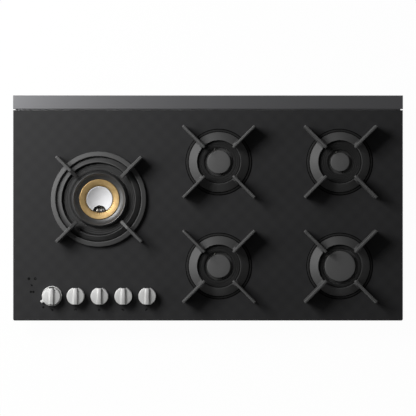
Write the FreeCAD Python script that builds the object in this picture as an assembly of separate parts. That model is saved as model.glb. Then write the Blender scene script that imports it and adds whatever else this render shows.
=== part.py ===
import FreeCAD, Part
import math
import os
from collections import namedtuple

# Five-burner gas cooktop for a worktop cut-out: a matt black glass panel with a metal strip
# along its rear edge, a wok burner on the left, four smaller burners on the right and five
# knobs along the front left. Millimetres. +X is right, +Y is rear, +Z is up.
# The origin is under the middle of the panel, at the underside of the steel tray.

# --- panel and the layers under it -----------------------------------------------------------
PANEL_WIDTH = 900.0
PANEL_DEPTH = 520.0
SEAT_Z = 50.0                 # the worktop's top surface, where the seal lies
SEAL_THICKNESS = 2.0
FRAME_THICKNESS = 1.0
GLASS_THICKNESS = 6.0
SHEET = 1.0                   # folded steel of the tray
STRIP_DEPTH = 31.5
STRIP_GAP = 2.5
STRIP_RISE = 0.6              # the strip stands this much above the glass

HALF_WIDTH = PANEL_WIDTH / 2
HALF_DEPTH = PANEL_DEPTH / 2
FRAME_BOTTOM = SEAT_Z + SEAL_THICKNESS
GLASS_BOTTOM = FRAME_BOTTOM + FRAME_THICKNESS
GLASS_TOP = GLASS_BOTTOM + GLASS_THICKNESS
STRIP_FRONT = HALF_DEPTH - STRIP_DEPTH
GLASS_REAR = STRIP_FRONT - STRIP_GAP

BOX_HALF_WIDTH = 425.0
BOX_HALF_DEPTH = 236.0
BOX_LIP = 12.0                # inward flange round the tray's mouth
BOX_CORNER = 8.0

# --- frame under the glass, clamps and connections -------------------------------------------
FRAME_OUTER_X = 445.0
FRAME_OUTER_Y = 255.0
FRAME_INNER_X = 408.0
FRAME_INNER_FRONT = -222.0
FRAME_INNER_REAR = 205.0
FRAME_SCREW_X = 418.0
FRAME_SCREW_YS = (-150.0, 0.0, 150.0)
SCREW_HOLE = 2.0              # radii of all screw holes and shanks
SCREW_SHANK = 1.9
CLAMP_XS = (-300.0, 300.0)
CLAMP_SCREW_Z = 9.0
CLAMP_THICKNESS = 2.0
INLET_X = 395.0
INLET_Y_OUT = 256.0
INLET_THREAD_RADIUS = 10.48
GLAND_X = -235.0
GLAND_Z = 26.0
GLAND_RADIUS = 8.0
MODULE_X = -398.0             # left front corner of the spark generator
MODULE_Y = 140.0

# --- where the burners and knobs stand -------------------------------------------------------
Burner = namedtuple("Burner", "name x y crown_radius cap_radius spark_angle ports")
SMALL_BURNERS = (
    Burner("middle_rear", 25.0, 106.0, 32.5, 27.0, 108.0, 24),
    Burner("middle_front", 25.0, -134.0, 32.5, 27.0, 108.0, 24),
    Burner("right_front", 304.0, -134.0, 39.0, 35.3, 141.0, 30),
    Burner("right_rear", 304.0, 106.0, 28.0, 21.8, 108.0, 20),
)
WOK_X = -250.0
WOK_Y = 20.0
KNOB_FIRST_X = -360.0
KNOB_PITCH = 55.0
KNOB_Y = -203.0
KNOB_COUNT = 5

# --- burner stack, from the glass up ---------------------------------------------------------
SMALL_HOLE = 60.0             # radius of the hole in the glass
WOK_HOLE = 80.0
SMALL_FLANGE = 77.0           # outer radius of the trim dish
WOK_FLANGE = 96.0
DISH_THICKNESS = 1.2
CUP_TOP = GLASS_BOTTOM + 1.0
CUP_FLANGE_TOP = GLASS_BOTTOM - 0.6
CUP_FLANGE_BOTTOM = CUP_FLANGE_TOP - 2.0
CUP_FLOOR = 22.0
CUP_BOSS_REACH = 24.0         # from the burner's axis to where its pipe ends
SOCKET_FLOOR = 51.0           # foot of the electrodes and probes in the cup
WOK_SOCKET_FLOOR = 44.0
WOK_PROBE_OFFSET = 25.5       # the wok's electrode and probe stand this far in front of its axis
WOK_PROBE_HALF_GAP = 5.0
CERAMIC_RADIUS = 2.4
PIN_RADIUS = 0.9
PROBE_RADIUS = 2.0
PROBE_TURN = 178.0            # the flame probe stands this far round from the spark electrode
JET_HOLE = 4.0
JET_FOOT = 16.0
TRIM_SCREW_ANGLES = (30.0, 150.0, 270.0)
SMALL_SCREW_CIRCLE = 50.0
WOK_SCREW_CIRCLE = 73.0
CROWN_DECK = GLASS_TOP + 6.0
CROWN_TOP = GLASS_TOP + 12.0
PAN_TOP = GLASS_TOP + 45.0    # where a pan stands
GRATE_BOTTOM = GLASS_TOP + 2.0
FIN_ANGLES = (45.0, 135.0, 225.0, 315.0)
WOK_BOWL_SEAT = GLASS_TOP - 0.2
WOK_SHELF = GLASS_TOP + 7.0   # the brass flame ring lies on this step of the outer ring
WOK_CREST = GLASS_TOP + 22.0
BOWL_RADIUS = 30.0
BOWL_RIM = GLASS_TOP + 10.4
BOWL_THICKNESS = 1.2

# --- knobs and taps --------------------------------------------------------------------------
KNOB_RADIUS = 20.3
KNOB_BOTTOM = GLASS_TOP + 6.0
KNOB_DISC_TOP = KNOB_BOTTOM + 15.0
KNOB_TOP = KNOB_DISC_TOP + 7.0
KNOB_BORE_DEPTH = 11.0
SPINDLE_RADIUS = 4.0
SPINDLE_FOOT = 30.0           # where the spindle stands on the tap's plunger
SPINDLE_FLAT = 2.6            # distance of the D flat from the axis
TAP_TOP = 44.0
TAP_NECK_RADIUS = 5.2
SHAFT_CLEARANCE = 0.06        # radial play of the spindle in its tap
SELECTOR_CLEARANCE = 0.08     # radial play of the selector ring on the tap's neck
SELECTOR_SLEEVE = 6.8         # outer radius of the sleeve that the selector ring turns on
PIPE_Z = 16.0                 # axis of the pipes from the taps to the burners
PIPE_START = KNOB_Y + 22.0    # where the pipes leave the taps' nuts
PIPE_BORE = 2.2
MANIFOLD_Y = -180.0
MANIFOLD_Z = 34.0
MANIFOLD_RADIUS = 8.0


# --- drawing helpers -------------------------------------------------------------------------
# Cutting shapes run a millimetre or more past the faces that they cut.
def vec(x, y, z=0.0):
    return FreeCAD.Vector(x, y, z)


def block(x0, x1, y0, y1, z0, z1):
    return Part.makeBox(x1 - x0, y1 - y0, z1 - z0, vec(x0, y0, z0))


def cylinder(x, y, z0, z1, radius):
    return Part.makeCylinder(radius, z1 - z0, vec(x, y, z0))


def cylinder_y(x, z, y0, y1, radius):
    return Part.makeCylinder(radius, y1 - y0, vec(x, y0, z), vec(0, 1, 0))


def cylinder_x(y, z, x0, x1, radius):
    return Part.makeCylinder(radius, x1 - x0, vec(x0, y, z), vec(1, 0, 0))


def outline(points, to_vector):
    """A closed wire through the points. A point written (mid, end) is an arc through mid."""
    edges = []
    here = to_vector(*points[0])
    for point in points[1:] + points[:1]:
        if isinstance(point[0], tuple):
            middle, end = point
            there = to_vector(*end)
            edges.append(Part.Arc(here, to_vector(*middle), there).toShape())
        else:
            there = to_vector(*point)
            edges.append(Part.LineSegment(here, there).toShape())
        here = there
    return Part.Wire(edges)


def turned(x, y, points):
    """A solid of revolution about a vertical axis, from a section given as (radius, height)."""
    face = Part.Face(outline(points, lambda r, z: vec(x + r, y, z)))
    return face.revolve(vec(x, y, 0), vec(0, 0, 1), 360)


def ring(x, y, inner, outer, z0, z1):
    return turned(x, y, [(inner, z0), (outer, z0), (outer, z1), (inner, z1)])


def dome(edge_radius, edge_z, apex_z):
    """An arc for turned(): part of a sphere from the edge up, or down, to the axis."""
    rise = apex_z - edge_z
    sphere = (edge_radius ** 2 + rise ** 2) / (2 * abs(rise))
    half = edge_radius / 2
    sag = sphere - math.sqrt(sphere ** 2 - half ** 2)
    return (half, apex_z - math.copysign(sag, rise)), (0, apex_z)


def plate(points, z0, z1):
    """A flat plate cut to an outline given as (x, y)."""
    face = Part.Face(outline(points, lambda x, y: vec(x, y, z0)))
    return face.extrude(vec(0, 0, z1 - z0))


def standing(points, half_width):
    """A plate standing on edge along +X from the axis, its outline given as (radius, height)."""
    face = Part.Face(outline(points, lambda r, z: vec(r, -half_width, z)))
    return face.extrude(vec(0, 2 * half_width, 0))


def hexagon(across_flats):
    corner = across_flats / math.sqrt(3)
    return [(corner * math.cos(math.radians(60 * k)), corner * math.sin(math.radians(60 * k)))
            for k in range(6)]


def placed(shape, x, y, angle=0.0):
    """A copy turned about the vertical axis through the origin, then moved to (x, y)."""
    copy = shape.copy()
    copy.rotate(vec(0, 0, 0), vec(0, 0, 1), angle)
    copy.translate(vec(x, y, 0))
    return copy


def polar(x, y, radius, angle):
    return (x + radius * math.cos(math.radians(angle)),
            y + radius * math.sin(math.radians(angle)))


def fused(shapes):
    return shapes[0].multiFuse(shapes[1:]).removeSplitter()


def group(shapes):
    return Part.makeCompound(shapes)


def vertical_edges(shape, test):
    """Edges parallel to Z whose foot (x, y) passes the test."""
    found = []
    for edge in shape.Edges:
        if len(edge.Vertexes) == 2:
            a, b = edge.Vertexes[0].Point, edge.Vertexes[1].Point
            if abs(a.x - b.x) < 1e-6 and abs(a.y - b.y) < 1e-6 and test(a.x, a.y):
                found.append(edge)
    return found


def edges_at_height(shape, z):
    return [edge for edge in shape.Edges
            if all(abs(vertex.Z - z) < 1e-6 for vertex in edge.Vertexes)]


def tube_path(points, bend):
    """Straight runs joined by tangent arcs of radius bend."""
    edges = []
    here = points[0]
    for before, corner, after in zip(points, points[1:], points[2:]):
        arriving = (corner - before).normalize()
        leaving = (after - corner).normalize()
        half_turn = arriving.getAngle(leaving) / 2
        setback = bend * math.tan(half_turn)
        start = corner - arriving * setback
        end = corner + leaving * setback
        inward = (leaving - arriving).normalize()
        middle = corner + inward * (bend / math.cos(half_turn) - bend)
        edges.append(Part.LineSegment(here, start).toShape())
        edges.append(Part.Arc(start, middle, end).toShape())
        here = end
    edges.append(Part.LineSegment(here, points[-1]).toShape())
    return Part.Wire(edges)


def tube(points, bend, radius, bore):
    """A round tube along the points, with tangent bends and a bore from end to end."""
    circles = [Part.Wire([Part.Circle(points[0], points[1] - points[0], size).toShape()])
               for size in (radius, bore)]
    return tube_path(points, bend).makePipe(Part.makeFace(circles, "Part::FaceMakerBullseye"))


# --- glass panel, rear strip, frame, seal and tray -------------------------------------------
def knob_positions():
    return [KNOB_FIRST_X + KNOB_PITCH * k for k in range(KNOB_COUNT)]


def glass_panel():
    corner_radius = 4.0
    edge_bevel = 1.2
    knob_hole = 8.0
    glass = block(-HALF_WIDTH, HALF_WIDTH, -HALF_DEPTH, GLASS_REAR, GLASS_BOTTOM, GLASS_TOP)
    front = vertical_edges(glass, lambda x, y: y < 0)
    glass = glass.makeFillet(corner_radius, front)
    glass = glass.makeChamfer(edge_bevel, edges_at_height(glass, GLASS_TOP))
    holes = [cylinder(WOK_X, WOK_Y, GLASS_BOTTOM - 1, GLASS_TOP + 1, WOK_HOLE)]
    for burner in SMALL_BURNERS:
        holes.append(cylinder(burner.x, burner.y, GLASS_BOTTOM - 1, GLASS_TOP + 1, SMALL_HOLE))
    for x in knob_positions():
        holes.append(cylinder(x, KNOB_Y, GLASS_BOTTOM - 1, GLASS_TOP + 1, knob_hole))
    return glass.cut(holes)


def rear_trim():
    """Extruded metal strip behind the glass, with relief channels along its underside."""
    bevel = 0.8
    channel_depth = 3.6
    channel_width = 7.0
    rib = 2.6
    top = GLASS_TOP + STRIP_RISE
    section = [(STRIP_FRONT, GLASS_BOTTOM)]
    for k in range(3):
        left = STRIP_FRONT + rib + k * (channel_width + rib)
        right = left + channel_width
        section += [(left, GLASS_BOTTOM), (left, GLASS_BOTTOM + channel_depth),
                    (right, GLASS_BOTTOM + channel_depth), (right, GLASS_BOTTOM)]
    section += [(HALF_DEPTH, GLASS_BOTTOM), (HALF_DEPTH, top - bevel), (HALF_DEPTH - bevel, top),
                (STRIP_FRONT + bevel, top), (STRIP_FRONT, top - bevel)]
    face = Part.Face(outline(section, lambda y, z: vec(-HALF_WIDTH, y, z)))
    return face.extrude(vec(PANEL_WIDTH, 0, 0))


def bonding_frame():
    """Steel frame glued under the glass and the strip. Its inner edge is folded down."""
    lip = 6.0
    sheet = block(-FRAME_OUTER_X, FRAME_OUTER_X, -FRAME_OUTER_Y, FRAME_OUTER_Y,
                  FRAME_BOTTOM, GLASS_BOTTOM)
    fold = block(-FRAME_INNER_X - SHEET, FRAME_INNER_X + SHEET, FRAME_INNER_FRONT - SHEET,
                 FRAME_INNER_REAR + SHEET, FRAME_BOTTOM - lip, FRAME_BOTTOM)
    opening = block(-FRAME_INNER_X, FRAME_INNER_X, FRAME_INNER_FRONT, FRAME_INNER_REAR,
                    FRAME_BOTTOM - lip - 1, GLASS_BOTTOM + 1)
    frame = sheet.fuse(fold).cut(opening).removeSplitter()
    holes = [cylinder(side * FRAME_SCREW_X, y, FRAME_BOTTOM - 1, GLASS_BOTTOM + 1, SCREW_HOLE)
             for side in (-1, 1) for y in FRAME_SCREW_YS]
    return frame.cut(holes)


def worktop_seal():
    """Foam seal between the frame and the worktop."""
    outer_x = 443.0
    outer_y = 253.0
    width = 10.0
    corner = 8.0
    outer = block(-outer_x, outer_x, -outer_y, outer_y, SEAT_Z, FRAME_BOTTOM)
    outer = outer.makeFillet(corner, vertical_edges(outer, lambda x, y: True))
    inner = block(-outer_x + width, outer_x - width, -outer_y + width, outer_y - width,
                  SEAT_Z - 1, FRAME_BOTTOM + 1)
    return outer.cut(inner)


def burner_box():
    """Folded steel tray that closes the cooktop from below."""
    tray = block(-BOX_HALF_WIDTH, BOX_HALF_WIDTH, -BOX_HALF_DEPTH, BOX_HALF_DEPTH,
                 0, FRAME_BOTTOM)
    tray = tray.makeFillet(BOX_CORNER, vertical_edges(tray, lambda x, y: True))
    hollow = block(-BOX_HALF_WIDTH + SHEET, BOX_HALF_WIDTH - SHEET,
                   -BOX_HALF_DEPTH + SHEET, BOX_HALF_DEPTH - SHEET, SHEET, FRAME_BOTTOM - SHEET)
    hollow = hollow.makeFillet(BOX_CORNER - SHEET, vertical_edges(hollow, lambda x, y: True))
    mouth = block(-BOX_HALF_WIDTH + BOX_LIP, BOX_HALF_WIDTH - BOX_LIP,
                  -BOX_HALF_DEPTH + BOX_LIP, BOX_HALF_DEPTH - BOX_LIP,
                  FRAME_BOTTOM - SHEET - 1, FRAME_BOTTOM + 1)
    tray = tray.cut([hollow, mouth])

    bead_xs = (-120.0, 150.0, 364.0)
    bead_front = -60.0
    bead_rear = 180.0
    bead_height = 3.0
    bead_width = 14.0
    beads = []
    grooves = []
    for x in bead_xs:
        beads.append(block(x - bead_width / 2, x + bead_width / 2, bead_front, bead_rear,
                           SHEET, SHEET + bead_height))
        grooves.append(block(x - bead_width / 2 + SHEET, x + bead_width / 2 - SHEET,
                             bead_front + SHEET, bead_rear - SHEET, -1, bead_height))
    tray = tray.fuse(beads).cut(grooves).removeSplitter()

    inlet_gap = 0.3
    openings = [cylinder_y(INLET_X, MANIFOLD_Z, BOX_HALF_DEPTH - 5, BOX_HALF_DEPTH + 5,
                           INLET_THREAD_RADIUS + inlet_gap),
                cylinder_y(GLAND_X, GLAND_Z, BOX_HALF_DEPTH - 5, BOX_HALF_DEPTH + 5,
                           GLAND_RADIUS)]
    slot_columns = 6
    first_slot_x = -190.0
    slot_pitch = 66.0
    slot_rows = (18.0, 28.0, 38.0)
    slot_length = 46.0
    slot_height = 4.0
    for k in range(slot_columns):
        left = first_slot_x + slot_pitch * k
        for z in slot_rows:
            openings.append(block(left, left + slot_length, BOX_HALF_DEPTH - 5,
                                  BOX_HALF_DEPTH + 5, z, z + slot_height))
    for side in (-1, 1):
        for y in FRAME_SCREW_YS:
            openings.append(cylinder(side * FRAME_SCREW_X, y, FRAME_BOTTOM - 5,
                                     FRAME_BOTTOM + 1, SCREW_HOLE))
        for x in CLAMP_XS:
            wall = side * BOX_HALF_DEPTH
            openings.append(cylinder_y(x, CLAMP_SCREW_Z, wall - 5, wall + 5, SCREW_HOLE))
    return tray.cut(openings)


def clamp_bracket():
    """Bracket on the tray's front wall. Its toe grips the worktop from below."""
    half_width = 15.0
    reach = 20.0
    leg_bottom = 2.0
    foot_z = 16.0
    toe_z = 20.0
    wall = -BOX_HALF_DEPTH
    t = CLAMP_THICKNESS
    section = [(wall, leg_bottom), (wall, foot_z), (wall - reach + t, foot_z),
               (wall - reach + t, toe_z), (wall - reach, toe_z), (wall - reach, foot_z - t),
               (wall - t, foot_z - t), (wall - t, leg_bottom)]
    face = Part.Face(outline(section, lambda y, z: vec(-half_width, y, z)))
    bracket = face.extrude(vec(2 * half_width, 0, 0))
    hole = cylinder_y(0, CLAMP_SCREW_Z, wall - 5, wall + 5, SCREW_HOLE)
    return bracket.cut(hole)


def worktop_clamps():
    bracket = clamp_bracket()
    return group([placed(bracket, x, 0, angle) for x in CLAMP_XS for angle in (0, 180)])


# --- gas line --------------------------------------------------------------------------------
def gas_manifold():
    """Steel tube, plugged at its left end, that feeds the five taps and runs round to the
    inlet at the rear."""
    bend = 24.0
    bore = 6.5
    plug_length = 5.0
    left = KNOB_FIRST_X - 24
    last_tap_x = KNOB_FIRST_X + KNOB_PITCH * (KNOB_COUNT - 1)
    front_y = -212.0
    route = [vec(left, MANIFOLD_Y, MANIFOLD_Z),
             vec(last_tap_x + 36, MANIFOLD_Y, MANIFOLD_Z),
             vec(last_tap_x + 80, front_y, MANIFOLD_Z),
             vec(INLET_X, front_y, MANIFOLD_Z),
             vec(INLET_X, BOX_HALF_DEPTH - 16, MANIFOLD_Z)]
    plug = cylinder_x(MANIFOLD_Y, MANIFOLD_Z, left, left + plug_length, bore)
    return fused([tube(route, bend, MANIFOLD_RADIUS, bore), plug])


def gas_inlet():
    """Inlet union: socket on the manifold, nut inside the tray, and outside it a threaded
    stub with a relief groove at its root."""
    inside = BOX_HALF_DEPTH - SHEET
    socket_start = BOX_HALF_DEPTH - 24
    socket_wall = 3.0
    nut_flats = 26.0
    nut_height = 7.0
    nut_start = inside - nut_height
    relief_radius = 9.4
    thread_start = BOX_HALF_DEPTH + 1.5
    bore = 6.5
    socket = cylinder_y(INLET_X, MANIFOLD_Z, socket_start, nut_start,
                        MANIFOLD_RADIUS + socket_wall)
    nut_face = Part.Face(outline(hexagon(nut_flats),
                                 lambda a, b: vec(INLET_X + a, nut_start, MANIFOLD_Z + b)))
    nut = nut_face.extrude(vec(0, nut_height, 0))
    root = cylinder_y(INLET_X, MANIFOLD_Z, inside, thread_start, relief_radius)
    stub = cylinder_y(INLET_X, MANIFOLD_Z, thread_start, INLET_Y_OUT, INLET_THREAD_RADIUS)
    body = fused([socket, nut, root, stub])
    pipe_seat = cylinder_y(INLET_X, MANIFOLD_Z, socket_start - 1, BOX_HALF_DEPTH - 16,
                           MANIFOLD_RADIUS)
    passage = cylinder_y(INLET_X, MANIFOLD_Z, socket_start - 1, INLET_Y_OUT + 1, bore)
    return body.cut([pipe_seat, passage])


def gas_tap():
    """One tap: forged housing with a round cavity, neck for the spindle, magnet housing
    underneath, saddle against the manifold and outlet nut towards the rear."""
    half = 11.0
    floor = 8.0
    magnet_radius = 6.5
    neck_height = 6.0
    saddle_half = 9.0
    saddle_wall = 1.5
    nut_flats = 12.0
    cavity_radius = 8.0
    cavity_floor = 12.0
    roof = 3.0
    gap = MANIFOLD_Y - KNOB_Y
    grip = MANIFOLD_RADIUS + saddle_wall
    housing = block(-half, half, -half, half, floor, TAP_TOP)
    neck = cylinder(0, 0, TAP_TOP, TAP_TOP + neck_height, TAP_NECK_RADIUS)
    magnet = cylinder(0, 0, SHEET, floor, magnet_radius)
    saddle = block(-saddle_half, saddle_half, half, gap, MANIFOLD_Z - grip, MANIFOLD_Z + grip)
    nut_face = Part.Face(outline(hexagon(nut_flats), lambda u, v: vec(u, half, PIPE_Z + v)))
    nut = nut_face.extrude(vec(0, PIPE_START - KNOB_Y - half, 0))
    body = fused([housing, neck, magnet, saddle, nut])
    cavity = cylinder(0, 0, cavity_floor, TAP_TOP - roof, cavity_radius)
    bore = cylinder(0, 0, TAP_TOP - roof - 1, TAP_TOP + neck_height + 1,
                    SPINDLE_RADIUS + SHAFT_CLEARANCE)
    seat = cylinder_x(gap, MANIFOLD_Z, -20, 20, MANIFOLD_RADIUS)
    return body.cut([cavity, bore, seat])


def gas_taps():
    tap = gas_tap()
    return group([placed(tap, x, KNOB_Y) for x in knob_positions()])


def straight_route(tap_x, x, y):
    """Back from the tap to the burner's row, then right to its boss."""
    return [(tap_x, PIPE_START), (tap_x, y), (x - CUP_BOSS_REACH, y)]


def lane_route(tap_x, lane_y, lane_x, burner):
    """Back from the tap, right along a lane, back or forward along another to the row."""
    return [(tap_x, PIPE_START), (tap_x, lane_y), (lane_x, lane_y), (lane_x, burner.y),
            (burner.x - CUP_BOSS_REACH, burner.y)]


def feed_pipes():
    """Aluminium pipes, one from each tap to its burner, laid side by side without crossing."""
    pipe_radius = 3.0
    bend = 12.0
    taps = knob_positions()
    middle_rear, middle_front, right_front, right_rear = SMALL_BURNERS
    routes = [straight_route(taps[0], WOK_X, WOK_Y),
              lane_route(taps[1], -108.0, -62.0, middle_rear),
              straight_route(taps[2], middle_front.x, middle_front.y),
              lane_route(taps[3], -153.0, 232.0, right_rear),
              lane_route(taps[4], -165.0, 252.0, right_front)]
    return group([tube([vec(x, y, PIPE_Z) for x, y in route], bend, pipe_radius, PIPE_BORE)
                  for route in routes])


# --- burners ---------------------------------------------------------------------------------
def port_wall_radius(burner):
    return burner.cap_radius - 1.0


def stem_radius(burner):
    return port_wall_radius(burner) - 1.0


def spark_position(burner):
    return polar(burner.x, burner.y, burner.cap_radius + 2.7, burner.spark_angle)


def probe_position(burner):
    return polar(burner.x, burner.y, burner.cap_radius + 2.0, burner.spark_angle + PROBE_TURN)


def wok_spark_position():
    return WOK_X - WOK_PROBE_HALF_GAP, WOK_Y - WOK_PROBE_OFFSET


def wok_probe_position():
    return WOK_X + WOK_PROBE_HALF_GAP, WOK_Y - WOK_PROBE_OFFSET


def gas_boss(x, y):
    """Boss under a cup: the pipe enters from the left and the jet stands in the middle."""
    post_foot = 5.0
    post_radius = 10.0
    arm_radius = 5.5
    post = cylinder(x, y, post_foot, CUP_FLOOR + 2, post_radius)
    arm = cylinder_x(y, PIPE_Z, x - CUP_BOSS_REACH, x, arm_radius)
    return [post, arm]


def gas_passages(x, y):
    """Seat of the jet and the drilling that leads the gas to it."""
    seat = cylinder(x, y, JET_FOOT - 2, CUP_FLOOR + 8, JET_HOLE)
    drilling = cylinder_x(y, PIPE_Z, x - CUP_BOSS_REACH - 1, x, PIPE_BORE)
    return [seat, drilling]


def trim_screw_holes(x, y, circle):
    return [cylinder(*polar(x, y, circle, angle), CUP_FLANGE_BOTTOM - 5, CUP_TOP + 5, SCREW_SHANK)
            for angle in TRIM_SCREW_ANGLES]


def small_cup(burner):
    """Die-cast cup under the glass that mixes gas and air below the crown."""
    x, y = burner.x, burner.y
    cavity = stem_radius(burner) - 3.0
    flange = SMALL_HOLE + 7
    collar = SMALL_HOLE - 3.5
    throat = 9.6
    throat_top = CUP_FLOOR + 8
    cavity_foot = CUP_TOP - 5
    bell = turned(x, y, [
        (10, CUP_FLOOR), (14, CUP_FLOOR + 4), (44, CUP_FLANGE_BOTTOM),
        (flange, CUP_FLANGE_BOTTOM), (flange, CUP_FLANGE_TOP), (collar, CUP_FLANGE_TOP),
        (collar, CUP_TOP), (cavity, CUP_TOP), (cavity, cavity_foot), (throat, throat_top),
        (throat, CUP_FLOOR + 2), (0, CUP_FLOOR + 2), (0, CUP_FLOOR)])
    cup = fused([bell] + gas_boss(x, y))
    sockets = [cylinder(*spark_position(burner), SOCKET_FLOOR, CUP_TOP + 5, CERAMIC_RADIUS),
               cylinder(*probe_position(burner), SOCKET_FLOOR, CUP_TOP + 5, PROBE_RADIUS)]
    return cup.cut(gas_passages(x, y) + sockets + trim_screw_holes(x, y, SMALL_SCREW_CIRCLE))


def burner_cups():
    return group([small_cup(burner) for burner in SMALL_BURNERS])


def wok_cup():
    """Cup of the wok burner, with a venturi tube in the middle that carries the bowl and
    a small pedestal at the front for the electrode and the probe."""
    flange = WOK_HOLE + 8
    collar = WOK_HOLE - 3.5
    cavity = 57.0
    cavity_foot = CUP_TOP - 5
    cavity_floor = CUP_FLOOR + 9
    venturi = 9.5
    venturi_outer = 12.0
    bell = turned(WOK_X, WOK_Y, [
        (venturi_outer, CUP_FLOOR), (16, CUP_FLOOR + 4), (66, CUP_FLANGE_BOTTOM),
        (flange, CUP_FLANGE_BOTTOM), (flange, CUP_FLANGE_TOP), (collar, CUP_FLANGE_TOP),
        (collar, CUP_TOP), (cavity, CUP_TOP), (cavity, cavity_foot), (16, cavity_floor),
        (venturi_outer, cavity_floor), (venturi_outer, WOK_BOWL_SEAT), (venturi, WOK_BOWL_SEAT),
        (venturi, CUP_FLOOR + 2), (0, CUP_FLOOR + 2), (0, CUP_FLOOR)])
    pedestal_half_width = 10.0
    pedestal_half_depth = 4.0
    pedestal_top = CUP_TOP - 4
    pedestal_y = WOK_Y - WOK_PROBE_OFFSET
    pedestal = block(WOK_X - pedestal_half_width, WOK_X + pedestal_half_width,
                     pedestal_y - pedestal_half_depth, pedestal_y + pedestal_half_depth,
                     cavity_floor - 1, pedestal_top)
    cup = fused([bell, pedestal] + gas_boss(WOK_X, WOK_Y))
    window_half_width = 2.0
    window = block(-20, 20, -window_half_width, window_half_width, cavity_floor + 5, pedestal_top)
    cuts = [placed(window, WOK_X, WOK_Y, angle) for angle in (30, 150)]
    cuts += [cylinder(*wok_spark_position(), WOK_SOCKET_FLOOR, CUP_TOP + 5, CERAMIC_RADIUS),
             cylinder(*wok_probe_position(), WOK_SOCKET_FLOOR, CUP_TOP + 5, PROBE_RADIUS)]
    cuts += gas_passages(WOK_X, WOK_Y)
    return cup.cut(cuts + trim_screw_holes(WOK_X, WOK_Y, WOK_SCREW_CIRCLE))


def cup_gaskets():
    """Fibre rings between the cups' flanges and the underside of the glass."""
    places = [(burner.x, burner.y, SMALL_HOLE) for burner in SMALL_BURNERS]
    places.append((WOK_X, WOK_Y, WOK_HOLE))
    return group([ring(x, y, hole + 1, hole + 6, CUP_FLANGE_TOP, GLASS_BOTTOM)
                  for x, y, hole in places])


def gas_jet():
    """Brass jet with a hexagon head, bored from below up to a fine orifice."""
    flats = 7.5
    shoulder = CUP_FLOOR + 2
    top = shoulder + 4
    bore = cylinder(0, 0, JET_FOOT - 1, top - 1.5, 2.0)
    orifice = cylinder(0, 0, JET_FOOT - 1, top + 1, 0.6)
    body = fused([cylinder(0, 0, JET_FOOT, shoulder, JET_HOLE),
                  plate(hexagon(flats), shoulder, top)])
    return body.cut([bore, orifice])


def gas_jets():
    jet = gas_jet()
    places = [(burner.x, burner.y) for burner in SMALL_BURNERS] + [(WOK_X, WOK_Y)]
    return group([placed(jet, x, y) for x, y in places])


def trim_ring(x, y, hole, flange, dish_inner, screw_circle):
    """Pressed steel dish that lies on the glass and reaches down to the cup."""
    top = GLASS_TOP + DISH_THICKNESS
    collar = hole - 0.6
    floor_top = CUP_TOP + DISH_THICKNESS
    dish = turned(x, y, [
        (dish_inner, CUP_TOP), (collar, CUP_TOP), (collar, GLASS_TOP), (flange, GLASS_TOP),
        (flange, GLASS_TOP + 0.5), (flange - 1.0, top), (collar - DISH_THICKNESS, top),
        (collar - DISH_THICKNESS, floor_top), (dish_inner, floor_top)])
    holes = [cylinder(*polar(x, y, screw_circle, angle), CUP_TOP - 5, CUP_TOP + 5, SCREW_HOLE)
             for angle in TRIM_SCREW_ANGLES]
    return dish.cut(holes)


def burner_trim_rings():
    crown_gap = 6.7
    wok_inner = 67.0
    rings = [trim_ring(burner.x, burner.y, SMALL_HOLE, SMALL_FLANGE,
                       burner.cap_radius + crown_gap, SMALL_SCREW_CIRCLE)
             for burner in SMALL_BURNERS]
    rings.append(trim_ring(WOK_X, WOK_Y, WOK_HOLE, WOK_FLANGE, wok_inner, WOK_SCREW_CIRCLE))
    return group(rings)


def crown(burner):
    """Burner crown: mixing tube below, a flange with a raised lip and a slotted port wall."""
    x, y = burner.x, burner.y
    wall = port_wall_radius(burner)
    stem = stem_radius(burner)
    rim = burner.crown_radius
    lip = 1.7
    tube_bore = 7.0
    tube_outer = 8.7
    tube_foot = 34.0
    port_wall = 3.0
    port_half = 0.8
    port_depth = 4.0
    chamber_floor = CROWN_DECK - 8
    spark_clearance = 0.6
    probe_clearance = 0.5
    body = turned(x, y, [
        (tube_bore, tube_foot), (tube_outer, tube_foot), (tube_outer, CUP_TOP),
        (stem, CUP_TOP), (stem, CROWN_DECK - 2), (rim, CROWN_DECK - 2),
        (rim, CROWN_DECK + 1.5), (rim - lip, CROWN_DECK + 1.5), (rim - lip, CROWN_DECK),
        (wall, CROWN_DECK), (wall, CROWN_TOP), (wall - port_wall, CROWN_TOP),
        (wall - port_wall, chamber_floor), (tube_bore, chamber_floor)])
    port = block(wall - port_wall - 2, wall + 1, -port_half, port_half,
                 CROWN_TOP - port_depth, CROWN_TOP + 1)
    cuts = [placed(port, x, y, 360.0 * k / burner.ports) for k in range(burner.ports)]
    cuts.append(cylinder(*spark_position(burner), CROWN_DECK - 5, CROWN_DECK + 5,
                         CERAMIC_RADIUS + spark_clearance))
    cuts.append(cylinder(*probe_position(burner), CROWN_DECK - 5, CROWN_DECK + 5,
                         PROBE_RADIUS + probe_clearance))
    return body.cut(cuts)


def cap(burner):
    """Enamelled cap with a slight dome and a locating rib that drops inside the crown."""
    radius = burner.cap_radius
    rib_outer = port_wall_radius(burner) - 3.6
    rib_inner = rib_outer - 2.4
    top = CROWN_TOP + 5.6
    bevel = 1.6
    shoulder = top - 0.8
    return turned(burner.x, burner.y, [
        (0, CROWN_TOP + 2.4), (rib_inner, CROWN_TOP + 2.4), (rib_inner, CROWN_TOP - 2),
        (rib_outer, CROWN_TOP - 2), (rib_outer, CROWN_TOP), (radius, CROWN_TOP),
        (radius, CROWN_TOP + 3), (radius - bevel, shoulder),
        dome(radius - bevel, shoulder, top)])


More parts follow.
